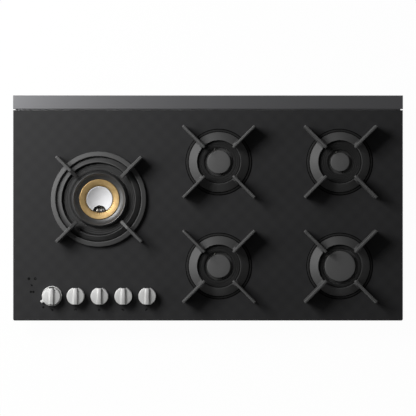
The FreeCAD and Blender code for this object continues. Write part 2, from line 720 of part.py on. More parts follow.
# --- wok burner ------------------------------------------------------------------------------
def wok_burner_ring():
    """Outer ring: slopes up to a thin crest, then sweeps down inside to the flame ring."""
    body = turned(WOK_X, WOK_Y, [
        (57, CUP_TOP), (66, CUP_TOP), (66, WOK_SHELF + 1), (60.8, WOK_CREST - 0.6),
        (60.0, WOK_CREST), (58.8, WOK_CREST - 0.6), ((51.5, 72.6), (46.8, 70.6)),
        (46.8, WOK_SHELF), (34, WOK_SHELF), (34, WOK_SHELF - 5), (57, WOK_SHELF - 5)])
    notch = block(-1.2, 1.2, -70, -55, WOK_CREST - 1.6, WOK_CREST + 1)
    return body.cut(placed(notch, WOK_X, WOK_Y))


def wok_flame_ring():
    """Brass ring, dished inwards, with fine slots round its inner edge."""
    body = turned(WOK_X, WOK_Y, [
        (31, 62), (33.6, 62), (33.6, WOK_SHELF), (46.2, WOK_SHELF), (46.2, WOK_SHELF + 5.2),
        (45.2, WOK_SHELF + 5.8), (31.6, WOK_SHELF + 4.2), (31, WOK_SHELF + 3.6)])
    slot_count = 40
    slot_half = 0.6
    slot = block(30, 32.8, -slot_half, slot_half, WOK_SHELF - 2.5, WOK_SHELF + 6)
    return body.cut([placed(slot, WOK_X, WOK_Y, 360.0 * k / slot_count)
                     for k in range(slot_count)])


def wok_bowl():
    """Concave steel bowl in the middle, cut away at the front for the electrode and probe."""
    bottom = WOK_BOWL_SEAT
    bowl = turned(WOK_X, WOK_Y, [
        (0, bottom), (12.6, bottom), (BOWL_RADIUS, BOWL_RIM - 1.4), (BOWL_RADIUS, BOWL_RIM),
        (BOWL_RADIUS - 1.0, BOWL_RIM),
        dome(BOWL_RADIUS - 1.0, BOWL_RIM, bottom + BOWL_THICKNESS)])
    recess_radius = 16.5
    recess_offset = 30.5
    recess = cylinder(WOK_X, WOK_Y - recess_offset, bottom - 1, BOWL_RIM + 1, recess_radius)
    return bowl.cut(recess)


# --- spark electrodes, flame probes and electrics --------------------------------------------
def electrode(x, y, foot, collar, tip):
    """Ceramic body with the spark pin standing out of its top."""
    ceramic = cylinder(x, y, foot, collar, CERAMIC_RADIUS)
    pin = cylinder(x, y, collar, tip, PIN_RADIUS)
    return fused([ceramic, pin])


def spark_electrodes():
    pin_length = 4.5
    collar = CROWN_DECK + 1.5
    wok_collar = CROWN_DECK - 1
    parts = [electrode(*spark_position(burner), SOCKET_FLOOR, collar, collar + pin_length)
             for burner in SMALL_BURNERS]
    parts.append(electrode(*wok_spark_position(), WOK_SOCKET_FLOOR, wok_collar,
                           wok_collar + pin_length))
    return group(parts)


def thermocouples():
    top = CROWN_DECK + 3
    wok_top = CROWN_DECK + 2
    parts = [cylinder(*probe_position(burner), SOCKET_FLOOR, top, PROBE_RADIUS)
             for burner in SMALL_BURNERS]
    parts.append(cylinder(*wok_probe_position(), WOK_SOCKET_FLOOR, wok_top, PROBE_RADIUS))
    return group(parts)


def spark_module():
    """Spark generator: a moulded block with five high-voltage towers and two feet."""
    width = 44.0
    length = 76.0
    top = 25.0
    foot = 10.0
    tower_pitch = 13.0
    case = block(MODULE_X, MODULE_X + width, MODULE_Y, MODULE_Y + length, SHEET, top)
    case = case.makeChamfer(1.5, edges_at_height(case, top))
    feet = [block(MODULE_X + 12, MODULE_X + 32, y, y + foot, SHEET, 4)
            for y in (MODULE_Y - foot, MODULE_Y + length)]
    towers = [cylinder(MODULE_X + 30, MODULE_Y + 12 + tower_pitch * k, top, top + 8, 3.6)
              for k in range(KNOB_COUNT)]
    return fused([case] + feet + towers)


def spark_switches():
    """Switch beside each spindle that closes when the knob is pressed."""
    near = SELECTOR_SLEEVE + 0.4
    far = 19.0
    half_length = 9.0
    top = TAP_TOP + 6
    body = block(near, far, -half_length, half_length, TAP_TOP, top)
    lever = block(near + 1.8, far - 2, -4, 4, top, top + 1.2)
    switch = fused([body, lever])
    return group([placed(switch, x, KNOB_Y) for x in knob_positions()])


def terminal_block():
    """Three-way screw terminal for the supply lead."""
    width = 36.0
    depth = 22.0
    top = 18.0
    pitch = 12.0
    well_radius = 3.2
    left = GLAND_X - width / 2
    front = BOX_HALF_DEPTH - 44
    base = block(left, left + width, front, front + depth, SHEET, top)
    wells = [cylinder(left + pitch * (k + 0.5), front + 6 + 10 * row, top - 8, top + 1,
                      well_radius)
             for k in range(3) for row in (0, 1)]
    return base.cut(wells)


def cable_gland():
    """Bush in the tray's rear wall for the supply lead."""
    wall = BOX_HALF_DEPTH
    reach_inside = 10.0
    flange_thickness = 3.0
    nut_flats = 21.0
    nut_start = wall - 5.0
    bore = 3.6
    body = cylinder_y(GLAND_X, GLAND_Z, wall - reach_inside, wall, GLAND_RADIUS)
    flange = cylinder_y(GLAND_X, GLAND_Z, wall, wall + flange_thickness, GLAND_RADIUS + 3)
    nut = Part.Face(outline(hexagon(nut_flats),
                            lambda a, b: vec(GLAND_X + a, nut_start, GLAND_Z + b)))
    bush = fused([body, flange, nut.extrude(vec(0, wall - SHEET - nut_start, 0))])
    return bush.cut(cylinder_y(GLAND_X, GLAND_Z, wall - reach_inside - 1,
                               wall + flange_thickness + 1, bore))


# --- screws ----------------------------------------------------------------------------------
def hex_screw(shank_length):
    """Hexagon-head screw standing head up, its head's underside at height 0."""
    flats = 6.0
    head_height = 2.2
    head = plate(hexagon(flats), 0, head_height)
    return fused([head, cylinder(0, 0, -shank_length, 0, SCREW_SHANK)])


def screws():
    """The screws of the trim dishes, of the frame and of the worktop clamps."""
    trim_screw = hex_screw(7.0)
    dish_floor = CUP_TOP + DISH_THICKNESS
    placed_screws = []
    stacks = [(burner.x, burner.y, SMALL_SCREW_CIRCLE) for burner in SMALL_BURNERS]
    stacks.append((WOK_X, WOK_Y, WOK_SCREW_CIRCLE))
    for x, y, circle in stacks:
        for angle in TRIM_SCREW_ANGLES:
            screw = trim_screw.copy()
            screw.translate(vec(*polar(x, y, circle, angle), dish_floor))
            placed_screws.append(screw)

    frame_screw = hex_screw(SHEET + FRAME_THICKNESS - 0.2)
    frame_screw.rotate(vec(0, 0, 0), vec(1, 0, 0), 180)
    for side in (-1, 1):
        for y in FRAME_SCREW_YS:
            screw = frame_screw.copy()
            screw.translate(vec(side * FRAME_SCREW_X, y, FRAME_BOTTOM - SHEET))
            placed_screws.append(screw)

    for side in (-1, 1):
        for x in CLAMP_XS:
            screw = hex_screw(CLAMP_THICKNESS + SHEET + 4)
            screw.rotate(vec(0, 0, 0), vec(1, 0, 0), -90 * side)
            screw.translate(vec(x, side * (BOX_HALF_DEPTH + CLAMP_THICKNESS), CLAMP_SCREW_Z))
            placed_screws.append(screw)
    return group(placed_screws)


# --- pan supports ----------------------------------------------------------------------------
def blade(side, foot_half, top_half, angle):
    """One cast fin: drafted section along the radius, cut to the given side outline."""
    reach = max(point[0] if not isinstance(point[0], tuple) else point[1][0] for point in side)
    bevel = 1.0
    section = [(-foot_half, GRATE_BOTTOM), (foot_half, GRATE_BOTTOM),
               (top_half, PAN_TOP - bevel), (top_half - bevel, PAN_TOP),
               (-top_half + bevel, PAN_TOP), (-top_half, PAN_TOP - bevel)]
    bar = Part.Face(outline(section, lambda y, z: vec(0, y, z))).extrude(vec(reach + 1, 0, 0))
    fin = bar.common(standing(side, foot_half + 1))
    return placed(fin, 0, 0, angle)


def small_pan_support(burner):
    """Cast support: a conical ring round the burner with four fins through it."""
    cone = turned(0, 0, [
        (69.5, GRATE_BOTTOM), (69.5, GRATE_BOTTOM + 1.6), (52.4, GRATE_BOTTOM + 18),
        (50.8, GRATE_BOTTOM + 18.4), (49.8, GRATE_BOTTOM + 17.4), (49.8, GRATE_BOTTOM + 14),
        (65.0, GRATE_BOTTOM)])
    side = [(117, PAN_TOP - 3), ((116.1, PAN_TOP - 0.9), (114, PAN_TOP)), (49, PAN_TOP),
            ((46.9, PAN_TOP - 0.9), (46, PAN_TOP - 3)), (46, PAN_TOP - 14),
            (50.5, GRATE_BOTTOM + 16), (66, GRATE_BOTTOM), (115, GRATE_BOTTOM)]
    web_side = [(68.8, GRATE_BOTTOM + 1), (67, GRATE_BOTTOM + 12), (58, GRATE_BOTTOM + 25),
                (50.6, GRATE_BOTTOM + 25), (50.6, GRATE_BOTTOM + 15), (64.5, GRATE_BOTTOM + 1)]
    web = standing(web_side, 5.6)
    fins = [blade(side, 3.8, 3.0, angle) for angle in FIN_ANGLES]
    webs = [placed(web, 0, 0, angle) for angle in FIN_ANGLES]
    return placed(fused([cone] + fins + webs), burner.x, burner.y)


def wok_pan_support():
    """Larger support: a raised flat ring, a low conical ring and fins that slope to the wok."""
    cone = turned(0, 0, [
        (97, GRATE_BOTTOM), (97, GRATE_BOTTOM + 1.6), (87.0, GRATE_BOTTOM + 17.6),
        (85.6, GRATE_BOTTOM + 18.2), (84.4, GRATE_BOTTOM + 17.2), (84.4, GRATE_BOTTOM + 14),
        (92.8, GRATE_BOTTOM)])
    ring_top = PAN_TOP - 5
    ring_bottom = PAN_TOP - 17
    band = turned(0, 0, [
        (98.6, ring_bottom), (109.4, ring_bottom), (110, ring_bottom + 1), (110, ring_top - 1),
        (109, ring_top), (99, ring_top), (98, ring_top - 1), (98, ring_bottom + 1)])
    side = [(139, PAN_TOP - 3), ((138.1, PAN_TOP - 0.9), (136, PAN_TOP)), (92, PAN_TOP),
            (72.5, PAN_TOP - 14), ((71.3, PAN_TOP - 15.2), (71, PAN_TOP - 17)),
            (71, PAN_TOP - 21), (85, GRATE_BOTTOM + 13), (93, GRATE_BOTTOM),
            (137, GRATE_BOTTOM)]
    fins = [blade(side, 4.3, 3.5, angle) for angle in FIN_ANGLES]
    return placed(fused([cone, band] + fins), WOK_X, WOK_Y)


def support_feet(x, y, radius):
    """Rubber pads under the outer ends of the fins."""
    half_length = 5.0
    half_width = 3.2
    pad = block(radius - half_length, radius + half_length, -half_width, half_width,
                GLASS_TOP, GRATE_BOTTOM)
    return group([placed(pad, x, y, angle) for angle in FIN_ANGLES])


# --- knobs -----------------------------------------------------------------------------------
def spindle(x):
    """Tap spindle with a collar inside the tap and a flat for the knob."""
    top = KNOB_BOTTOM + KNOB_BORE_DEPTH
    collar = 7.5
    collar_bottom = TAP_TOP - 7
    collar_top = TAP_TOP - 3.1
    rod = turned(0, 0, [(0, SPINDLE_FOOT), (SPINDLE_RADIUS, SPINDLE_FOOT),
                        (SPINDLE_RADIUS, collar_bottom), (collar, collar_bottom),
                        (collar, collar_top), (SPINDLE_RADIUS, collar_top),
                        (SPINDLE_RADIUS, top), (0, top)])
    flat = block(SPINDLE_FLAT, 6, -6, 6, GLASS_TOP + 3, top + 1)
    return placed(rod.cut(flat), x, KNOB_Y)


def tap_plunger(x):
    """Plunger in the tap that carries the push of the knob down to the magnet valve."""
    stem = 2.5
    stem_foot = 16.0
    head = 7.6
    head_bottom = 26.0
    return turned(x, KNOB_Y, [(0, stem_foot), (stem, stem_foot), (stem, head_bottom),
                              (head, head_bottom), (head, SPINDLE_FOOT), (0, SPINDLE_FOOT)])


def knob(x):
    """Metal knob: a round disc with a raised grip bar, hollow underneath round its hub."""
    disc = turned(0, 0, [(0, KNOB_BOTTOM), (KNOB_RADIUS, KNOB_BOTTOM),
                         (KNOB_RADIUS - 0.2, KNOB_DISC_TOP - 0.8),
                         (KNOB_RADIUS - 0.9, KNOB_DISC_TOP), (0, KNOB_DISC_TOP)])
    bar_length = 37.0
    bar_foot = 5.9
    bar_top = 3.9
    bevel = 0.6
    section = [(-bar_foot, KNOB_DISC_TOP - 1), (bar_foot, KNOB_DISC_TOP - 1),
               (bar_top, KNOB_TOP - bevel), (bar_top - bevel, KNOB_TOP),
               (-bar_top + bevel, KNOB_TOP), (-bar_top, KNOB_TOP - bevel)]
    bar = Part.Face(outline(section, lambda a, b: vec(a, -bar_length / 2, b)))
    body = fused([disc, bar.extrude(vec(0, bar_length, 0))])
    notch_half = 6.0
    notch = block(-notch_half, notch_half, bar_length / 2, bar_length, KNOB_BOTTOM - 1,
                  KNOB_TOP + 1)
    shell_inner = 17.6
    hub = 7.0
    hollow = turned(0, 0, [(hub, KNOB_BOTTOM - 1), (shell_inner, KNOB_BOTTOM - 1),
                           (shell_inner, KNOB_DISC_TOP - 3), (hub, KNOB_DISC_TOP - 3)])
    bore_top = KNOB_BOTTOM + KNOB_BORE_DEPTH
    bore = cylinder(0, 0, KNOB_BOTTOM - 1, bore_top, SPINDLE_RADIUS)
    bore = bore.cut(block(SPINDLE_FLAT, 6, -6, 6, KNOB_BOTTOM - 3, bore_top + 1))
    cuts = [notch, placed(notch, 0, 0, 180), hollow, bore]
    return placed(body.cut(cuts), x, KNOB_Y)


def wok_selector_ring():
    """Ring round the first knob, with a small lever, that trims the wok's inner flame."""
    bore = TAP_NECK_RADIUS + SELECTOR_CLEARANCE
    rim = 23.0
    floor = GLASS_TOP + 1.4
    top = GLASS_TOP + 7.0
    body = turned(0, 0, [
        (bore, TAP_TOP + 2), (SELECTOR_SLEEVE, TAP_TOP + 2), (SELECTOR_SLEEVE, floor),
        (rim - 0.4, floor), (rim, floor + 0.4), (rim, top), (rim - 1.7, top),
        (rim - 1.7, floor + 1.2), (bore, floor + 1.2)])
    lever_angle = 209.0
    lever = plate([(rim - 1, -3.4), (rim + 5.4, -3.2), ((rim + 6.2, 0), (rim + 5.4, 3.2)),
                   (rim - 1, 3.4)], top - 4, top)
    return placed(fused([body, placed(lever, 0, 0, lever_angle)]), KNOB_FIRST_X, KNOB_Y)


def knob_grommets():
    """Rubber bush in each spindle hole of the glass."""
    bush = turned(0, 0, [(7.1, GLASS_BOTTOM), (8.0, GLASS_BOTTOM), (8.0, GLASS_TOP),
                         (11, GLASS_TOP), (10.6, GLASS_TOP + 1), (7.1, GLASS_TOP + 1)])
    return group([placed(bush, x, KNOB_Y) for x in knob_positions()])


# --- everything, one file per named part -----------------------------------------------------
def all_parts():
    parts = {
        "glass_panel": glass_panel(),
        "rear_trim": rear_trim(),
        "bonding_frame": bonding_frame(),
        "worktop_seal": worktop_seal(),
        "burner_box": burner_box(),
        "worktop_clamps": worktop_clamps(),
        "gas_manifold": gas_manifold(),
        "gas_inlet": gas_inlet(),
        "gas_taps": gas_taps(),
        "feed_pipes": feed_pipes(),
        "burner_cups": burner_cups(),
        "wok_cup": wok_cup(),
        "cup_gaskets": cup_gaskets(),
        "gas_jets": gas_jets(),
        "burner_trim_rings": burner_trim_rings(),
        "spark_electrodes": spark_electrodes(),
        "thermocouples": thermocouples(),
        "spark_module": spark_module(),
        "spark_switches": spark_switches(),
        "terminal_block": terminal_block(),
        "cable_gland": cable_gland(),
        "screws": screws(),
        "knob_grommets": knob_grommets(),
        "wok_burner_ring": wok_burner_ring(),
        "wok_flame_ring": wok_flame_ring(),
        "wok_bowl": wok_bowl(),
        "wok_pan_support": wok_pan_support(),
        "wok_support_feet": support_feet(WOK_X, WOK_Y, 130.0),
        "wok_selector_ring": wok_selector_ring(),
    }
    for burner in SMALL_BURNERS:
        parts["crown_" + burner.name] = crown(burner)
        parts["cap_" + burner.name] = cap(burner)
        parts["pan_support_" + burner.name] = small_pan_support(burner)
        parts["support_feet_" + burner.name] = support_feet(burner.x, burner.y, 108.0)
    for number, x in enumerate(knob_positions(), 1):
        parts["tap_plunger_%d" % number] = tap_plunger(x)
        parts["spindle_%d" % number] = spindle(x)
        parts["knob_%d" % number] = knob(x)
    return parts


os.makedirs("parts", exist_ok=True)
for part_name, part_shape in all_parts().items():
    part_shape.exportStep("parts/%s.step" % part_name)
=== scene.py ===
"""Looks of a five-burner gas cooktop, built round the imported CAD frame.

The CAD nodes give every size and place. Pieces that show are modelled again here with
rounded edges, ports, threads and recesses, and every surface gets a procedural finish.
"""

import logging
import math
from dataclasses import dataclass, field
from enum import Enum

import bpy
from mathutils import Matrix, Vector


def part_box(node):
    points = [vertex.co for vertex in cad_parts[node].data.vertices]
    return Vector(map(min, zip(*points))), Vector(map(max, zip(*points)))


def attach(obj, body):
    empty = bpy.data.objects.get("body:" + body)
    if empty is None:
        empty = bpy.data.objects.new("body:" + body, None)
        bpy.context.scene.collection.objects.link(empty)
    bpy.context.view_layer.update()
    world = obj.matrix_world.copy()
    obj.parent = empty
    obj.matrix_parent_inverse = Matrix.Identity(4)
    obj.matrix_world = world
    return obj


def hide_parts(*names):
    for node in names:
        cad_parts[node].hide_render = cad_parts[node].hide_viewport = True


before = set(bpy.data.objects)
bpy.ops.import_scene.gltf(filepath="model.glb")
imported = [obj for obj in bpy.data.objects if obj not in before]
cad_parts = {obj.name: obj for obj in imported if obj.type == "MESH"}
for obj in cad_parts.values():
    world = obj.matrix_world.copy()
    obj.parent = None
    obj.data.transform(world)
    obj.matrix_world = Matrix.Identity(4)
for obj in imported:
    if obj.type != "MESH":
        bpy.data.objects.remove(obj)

LOG = logging.getLogger("cooktop")

MM = 0.001
SMALL_NAMES = ("middle_rear", "middle_front", "right_front", "right_rear")
KNOB_NUMBERS = (1, 2, 3, 4, 5)
SMOOTH_ANGLE = math.radians(35.0)

Point = tuple[float, float]
Section = list[Point]
Colour = tuple[float, float, float]


# --- measuring the frame ----------------------------------------------------------------------
@dataclass(frozen=True)
class Extent:
    """The box of one CAD node, in millimetres."""

    low: Vector
    high: Vector

    @property
    def centre(self) -> Point:
        """The middle of the box, seen from above."""
        return (self.low.x + self.high.x) / 2, (self.low.y + self.high.y) / 2

    @property
    def radius(self) -> float:
        """Half of the box's width along X."""
        return (self.high.x - self.low.x) / 2


def extent(node: str) -> Extent:
    """Measures a CAD node.

    Args:
        node: the node's name.

    Returns:
        Its box in millimetres.
    """
    low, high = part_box(node)
    return Extent(low / MM, high / MM)


GLASS_TOP = extent("glass_panel").high.z
PAN_TOP = extent("wok_pan_support").high.z
GRATE_BOTTOM = extent("wok_pan_support").low.z


# --- modelling --------------------------------------------------------------------------------
def deselect_all() -> None:
    """Leaves nothing selected, so that an operator acts only on what is chosen next."""
    bpy.ops.object.select_all(action="DESELECT")


def choose(piece: bpy.types.Object) -> None:
    """Makes one piece the only selected and the active one."""
    deselect_all()
    piece.select_set(True)
    bpy.context.view_layer.objects.active = piece


def edit(piece: bpy.types.Object, kind: str = "VERT") -> None:
    """Opens a piece for editing with everything selected.

    Args:
        piece: the piece to edit.
        kind: VERT, EDGE or FACE.
    """
    choose(piece)
    bpy.ops.object.mode_set(mode="EDIT")
    bpy.ops.mesh.select_mode(type=kind)
    bpy.ops.mesh.select_all(action="SELECT")


def close_edit() -> None:
    """Turns every face outwards and leaves edit mode."""
    bpy.ops.mesh.select_all(action="SELECT")
    bpy.ops.mesh.normals_make_consistent(inside=False)
    bpy.ops.object.mode_set(mode="OBJECT")


def settle(piece: bpy.types.Object, name: str) -> bpy.types.Object:
    """Names a piece and moves its place into its mesh."""
    piece.name = name
    piece.data.name = name
    choose(piece)
    bpy.ops.object.transform_apply(location=True, rotation=True, scale=True)
    return piece


def move_selected(offset: tuple[float, float, float]) -> None:
    """Moves what is selected in edit mode, in millimetres."""
    bpy.ops.transform.translate(value=tuple(step * MM for step in offset))


def extrude(offset: tuple[float, float, float]) -> None:
    """Extrudes what is selected in edit mode, in millimetres."""
    step = {"value": tuple(part * MM for part in offset)}
    bpy.ops.mesh.extrude_region_move(TRANSFORM_OT_translate=step)


def turned(name: str, centre: Point, section: Section, segments: int = 96) -> bpy.types.Object:
    """Turns a section round a vertical axis, ring by ring, from one circle.

    Args:
        name: the piece's name.
        centre: the axis, seen from above.
        section: (radius, height) points; a radius of 0 at either end closes the piece there.
        segments: points round the axis.

    Returns:
        The closed piece.
    """
    points = list(section)
    starts_on_axis = points[0][0] == 0.0
    ends_on_axis = points[-1][0] == 0.0
    if starts_on_axis:
        points = points[1:]
    tip_height = points.pop()[1] if ends_on_axis else 0.0
    radius, height = points[0]
    deselect_all()
    bpy.ops.mesh.primitive_circle_add(
        vertices=segments, radius=radius * MM, fill_type="TRIFAN" if starts_on_axis else "NOTHING",
        location=(centre[0] * MM, centre[1] * MM, height * MM))
    piece = bpy.context.object
    edit(piece, "EDGE")
    if starts_on_axis:
        bpy.ops.mesh.select_all(action="DESELECT")
        bpy.ops.mesh.select_non_manifold(use_wire=True, use_boundary=True, use_multi_face=False,
                                         use_non_contiguous=False, use_verts=False)
    is_loop = not starts_on_axis and not ends_on_axis
    following = points[1:] + points[:1] if is_loop else points[1:]
    for (old_radius, old_height), (new_radius, new_height) in zip(points, following):
        extrude((0, 0, new_height - old_height))
        growth = new_radius / old_radius
        bpy.ops.transform.resize(value=(growth, growth, 1), center_override=(
            centre[0] * MM, centre[1] * MM, new_height * MM))
    if ends_on_axis:
        extrude((0, 0, tip_height - points[-1][1]))
        bpy.ops.mesh.merge(type="CENTER")
    bpy.ops.mesh.select_all(action="SELECT")
    bpy.ops.mesh.remove_doubles(threshold=0.001 * MM)
    close_edit()
    return settle(piece, name)


def eased(section: Section, radius: float, closed: bool = True) -> Section:
    """Rounds the corners of a section.

    Args:
        section: the sharp points.
        radius: how far from a corner its rounding starts.
        closed: whether the last point joins the first.

    Returns:
        The section with three points at each rounded corner.
    """
    rounded: Section = []
    count = len(section)
    for index, corner in enumerate(section):
        if not closed and index in (0, count - 1):
            rounded.append(corner)
            continue
        here = Vector(corner)
        before = Vector(section[index - 1]) - here
        after = Vector(section[(index + 1) % count]) - here
        reach = min(radius, before.length * 0.45, after.length * 0.45)
        start = here + before.normalized() * reach
        end = here + after.normalized() * reach
        middle = (start + end) / 4 + here / 2
        rounded += [tuple(start), tuple(middle), tuple(end)]
    return rounded


def bow(start: Point, end: Point, sag: float, steps: int = 8) -> Section:
    """A shallow arc between two section points.

    Args:
        start: first point.
        end: last point.
        sag: height of the arc over its chord, to the left of the way from start to end.
        steps: pieces that the arc is cut into.

    Returns:
        The points after start, up to and with end.
    """
    chord = Vector(end) - Vector(start)
    across = Vector((-chord.y, chord.x)).normalized()
    points = []
    for step in range(1, steps + 1):
        share = step / steps
        rise = 4 * sag * share * (1 - share)
        points.append(tuple(Vector(start) + chord * share + across * rise))
    return points


class Sheet(Enum):
    """The plane that an outline is traced in."""

    FLAT = "x to the right, y to the rear"
    UPRIGHT = "x to the right, z up"


def traced(name: str, outline: Section, start: float, end: float,
           sheet: Sheet = Sheet.FLAT) -> bpy.types.Object:
    """Draws an outline with one vertex, fills it and extrudes it to a plate.

    Args:
        name: the piece's name.
        outline: its corners.
        start: height, or y for an upright sheet, of the first face.
        end: the same for the second face.
        sheet: the outline's plane.

    Returns:
        The closed plate.
    """
    def lift(u: float, v: float, w: float) -> tuple[float, float, float]:
        """A vector from outline and thickness steps."""
        return (u, v, w) if sheet is Sheet.FLAT else (u, w, v)

    deselect_all()
    bpy.ops.mesh.primitive_plane_add(size=MM, location=(0, 0, 0))
    piece = bpy.context.object
    edit(piece)
    bpy.ops.mesh.merge(type="CENTER")
    move_selected(lift(*outline[0], start))
    for (u0, v0), (u1, v1) in zip(outline, outline[1:]):
        extrude(lift(u1 - u0, v1 - v0, 0.0))
    bpy.ops.mesh.select_all(action="SELECT")
    bpy.ops.mesh.edge_face_add()
    extrude(lift(0.0, 0.0, end - start))
    close_edit()
    return settle(piece, name)


def rectangle(left: float, right: float, low: float, high: float) -> Section:
    """Corners of a rectangle, also as the section of a turned ring."""
    return [(left, low), (right, low), (right, high), (left, high)]


def block(name: str, low: tuple[float, float, float],
          high: tuple[float, float, float]) -> bpy.types.Object:
    """A box between two corners, traced and extruded."""
    return traced(name, rectangle(low[0], high[0], low[1], high[1]), low[2], high[2])


def cylinder(place: Point, radius: float, low: float, high: float,
             segments: int = 32) -> bpy.types.Object:
    """An upright round bar between two heights."""
    return turned("cylinder", place, rectangle(0.0, radius, low, high), segments)


def hexagon(across_flats: float) -> Section:
    """Corners of a hexagon round the origin."""
    corner = across_flats / math.sqrt(3)
    return [(corner * math.cos(math.radians(60 * k)), corner * math.sin(math.radians(60 * k)))
            for k in range(6)]


def finish_modifier(piece: bpy.types.Object, kind: str, **settings: object) -> None:
    """Adds a modifier, sets it and applies it.

    Args:
        piece: the piece it changes.
        kind: Blender's name of the modifier.
        **settings: values of the modifier's properties.
    """
    choose(piece)
    bpy.ops.object.modifier_add(type=kind)
    modifier = piece.modifiers[-1]
    for key, value in settings.items():
        setattr(modifier, key, value)
    bpy.ops.object.modifier_apply(modifier=modifier.name)


def bevelled(piece: bpy.types.Object, width: float, segments: int = 2) -> bpy.types.Object:
    """Rounds every sharp edge of a piece."""
    finish_modifier(piece, "BEVEL", width=width * MM, segments=segments, limit_method="ANGLE",
                    angle_limit=SMOOTH_ANGLE, harden_normals=False)
    return piece


def remove(piece: bpy.types.Object) -> None:
    """Takes a helper piece out of the scene."""
    mesh = piece.data
    bpy.data.objects.remove(piece)
    bpy.data.meshes.remove(mesh)


def combined(piece: bpy.types.Object, tools: list[bpy.types.Object],
             operation: str) -> bpy.types.Object:
    """Cuts tools out of a piece, or fuses them with it, one by one.

    Args:
        piece: the piece that stays.
        tools: closed helper pieces, used up.
        operation: DIFFERENCE or UNION.

    Returns:
        The piece.
    """
    for tool in tools:
        finish_modifier(piece, "BOOLEAN", operation=operation, solver="EXACT", object=tool)
        remove(tool)
    return piece


def joined(pieces: list[bpy.types.Object], name: str) -> bpy.types.Object:
    """Joins pieces into one object."""
    choose(pieces[0])
    for piece in pieces[1:]:
        piece.select_set(True)
    bpy.ops.object.join()
    return settle(pieces[0], name)


def copied(piece: bpy.types.Object, name: str, centre: Point = (0.0, 0.0), angle: float = 0.0,
           height: float = 0.0, axis: str = "Z") -> bpy.types.Object:
    """A copy with its own mesh, turned about an axis through the origin and then moved.

    Args:
        piece: what is copied.
        name: the copy's name.
        centre: where its origin goes, seen from above.
        angle: its turn, in degrees.
        height: how far it goes up.
        axis: X, Y or Z, the axis of the turn.

    Returns:
        The copy.
    """
    twin = piece.copy()
    twin.data = piece.data.copy()
    twin.name = name
    twin.data.name = name
    bpy.context.scene.collection.objects.link(twin)
    place = Matrix.Translation((centre[0] * MM, centre[1] * MM, height * MM))
    twin.data.transform(place @ Matrix.Rotation(math.radians(angle), 4, axis))
    return twin


def around(piece: bpy.types.Object, name: str, centre: Point,
           angles: list[float]) -> bpy.types.Object:
    """Copies a piece round a centre, joins the copies and uses up the first one."""
    copies = [copied(piece, f"{name}_{k}", centre, angle) for k, angle in enumerate(angles)]
    remove(piece)
    return joined(copies, name)


def even_angles(count: int) -> list[float]:
    """Angles of a full, even round."""
    return [360.0 * k / count for k in range(count)]


def polar(centre: Point, radius: float, angle: float) -> Point:
    """A point at a radius and angle from a centre."""
    turn = math.radians(angle)
    return centre[0] + radius * math.cos(turn), centre[1] + radius * math.sin(turn)


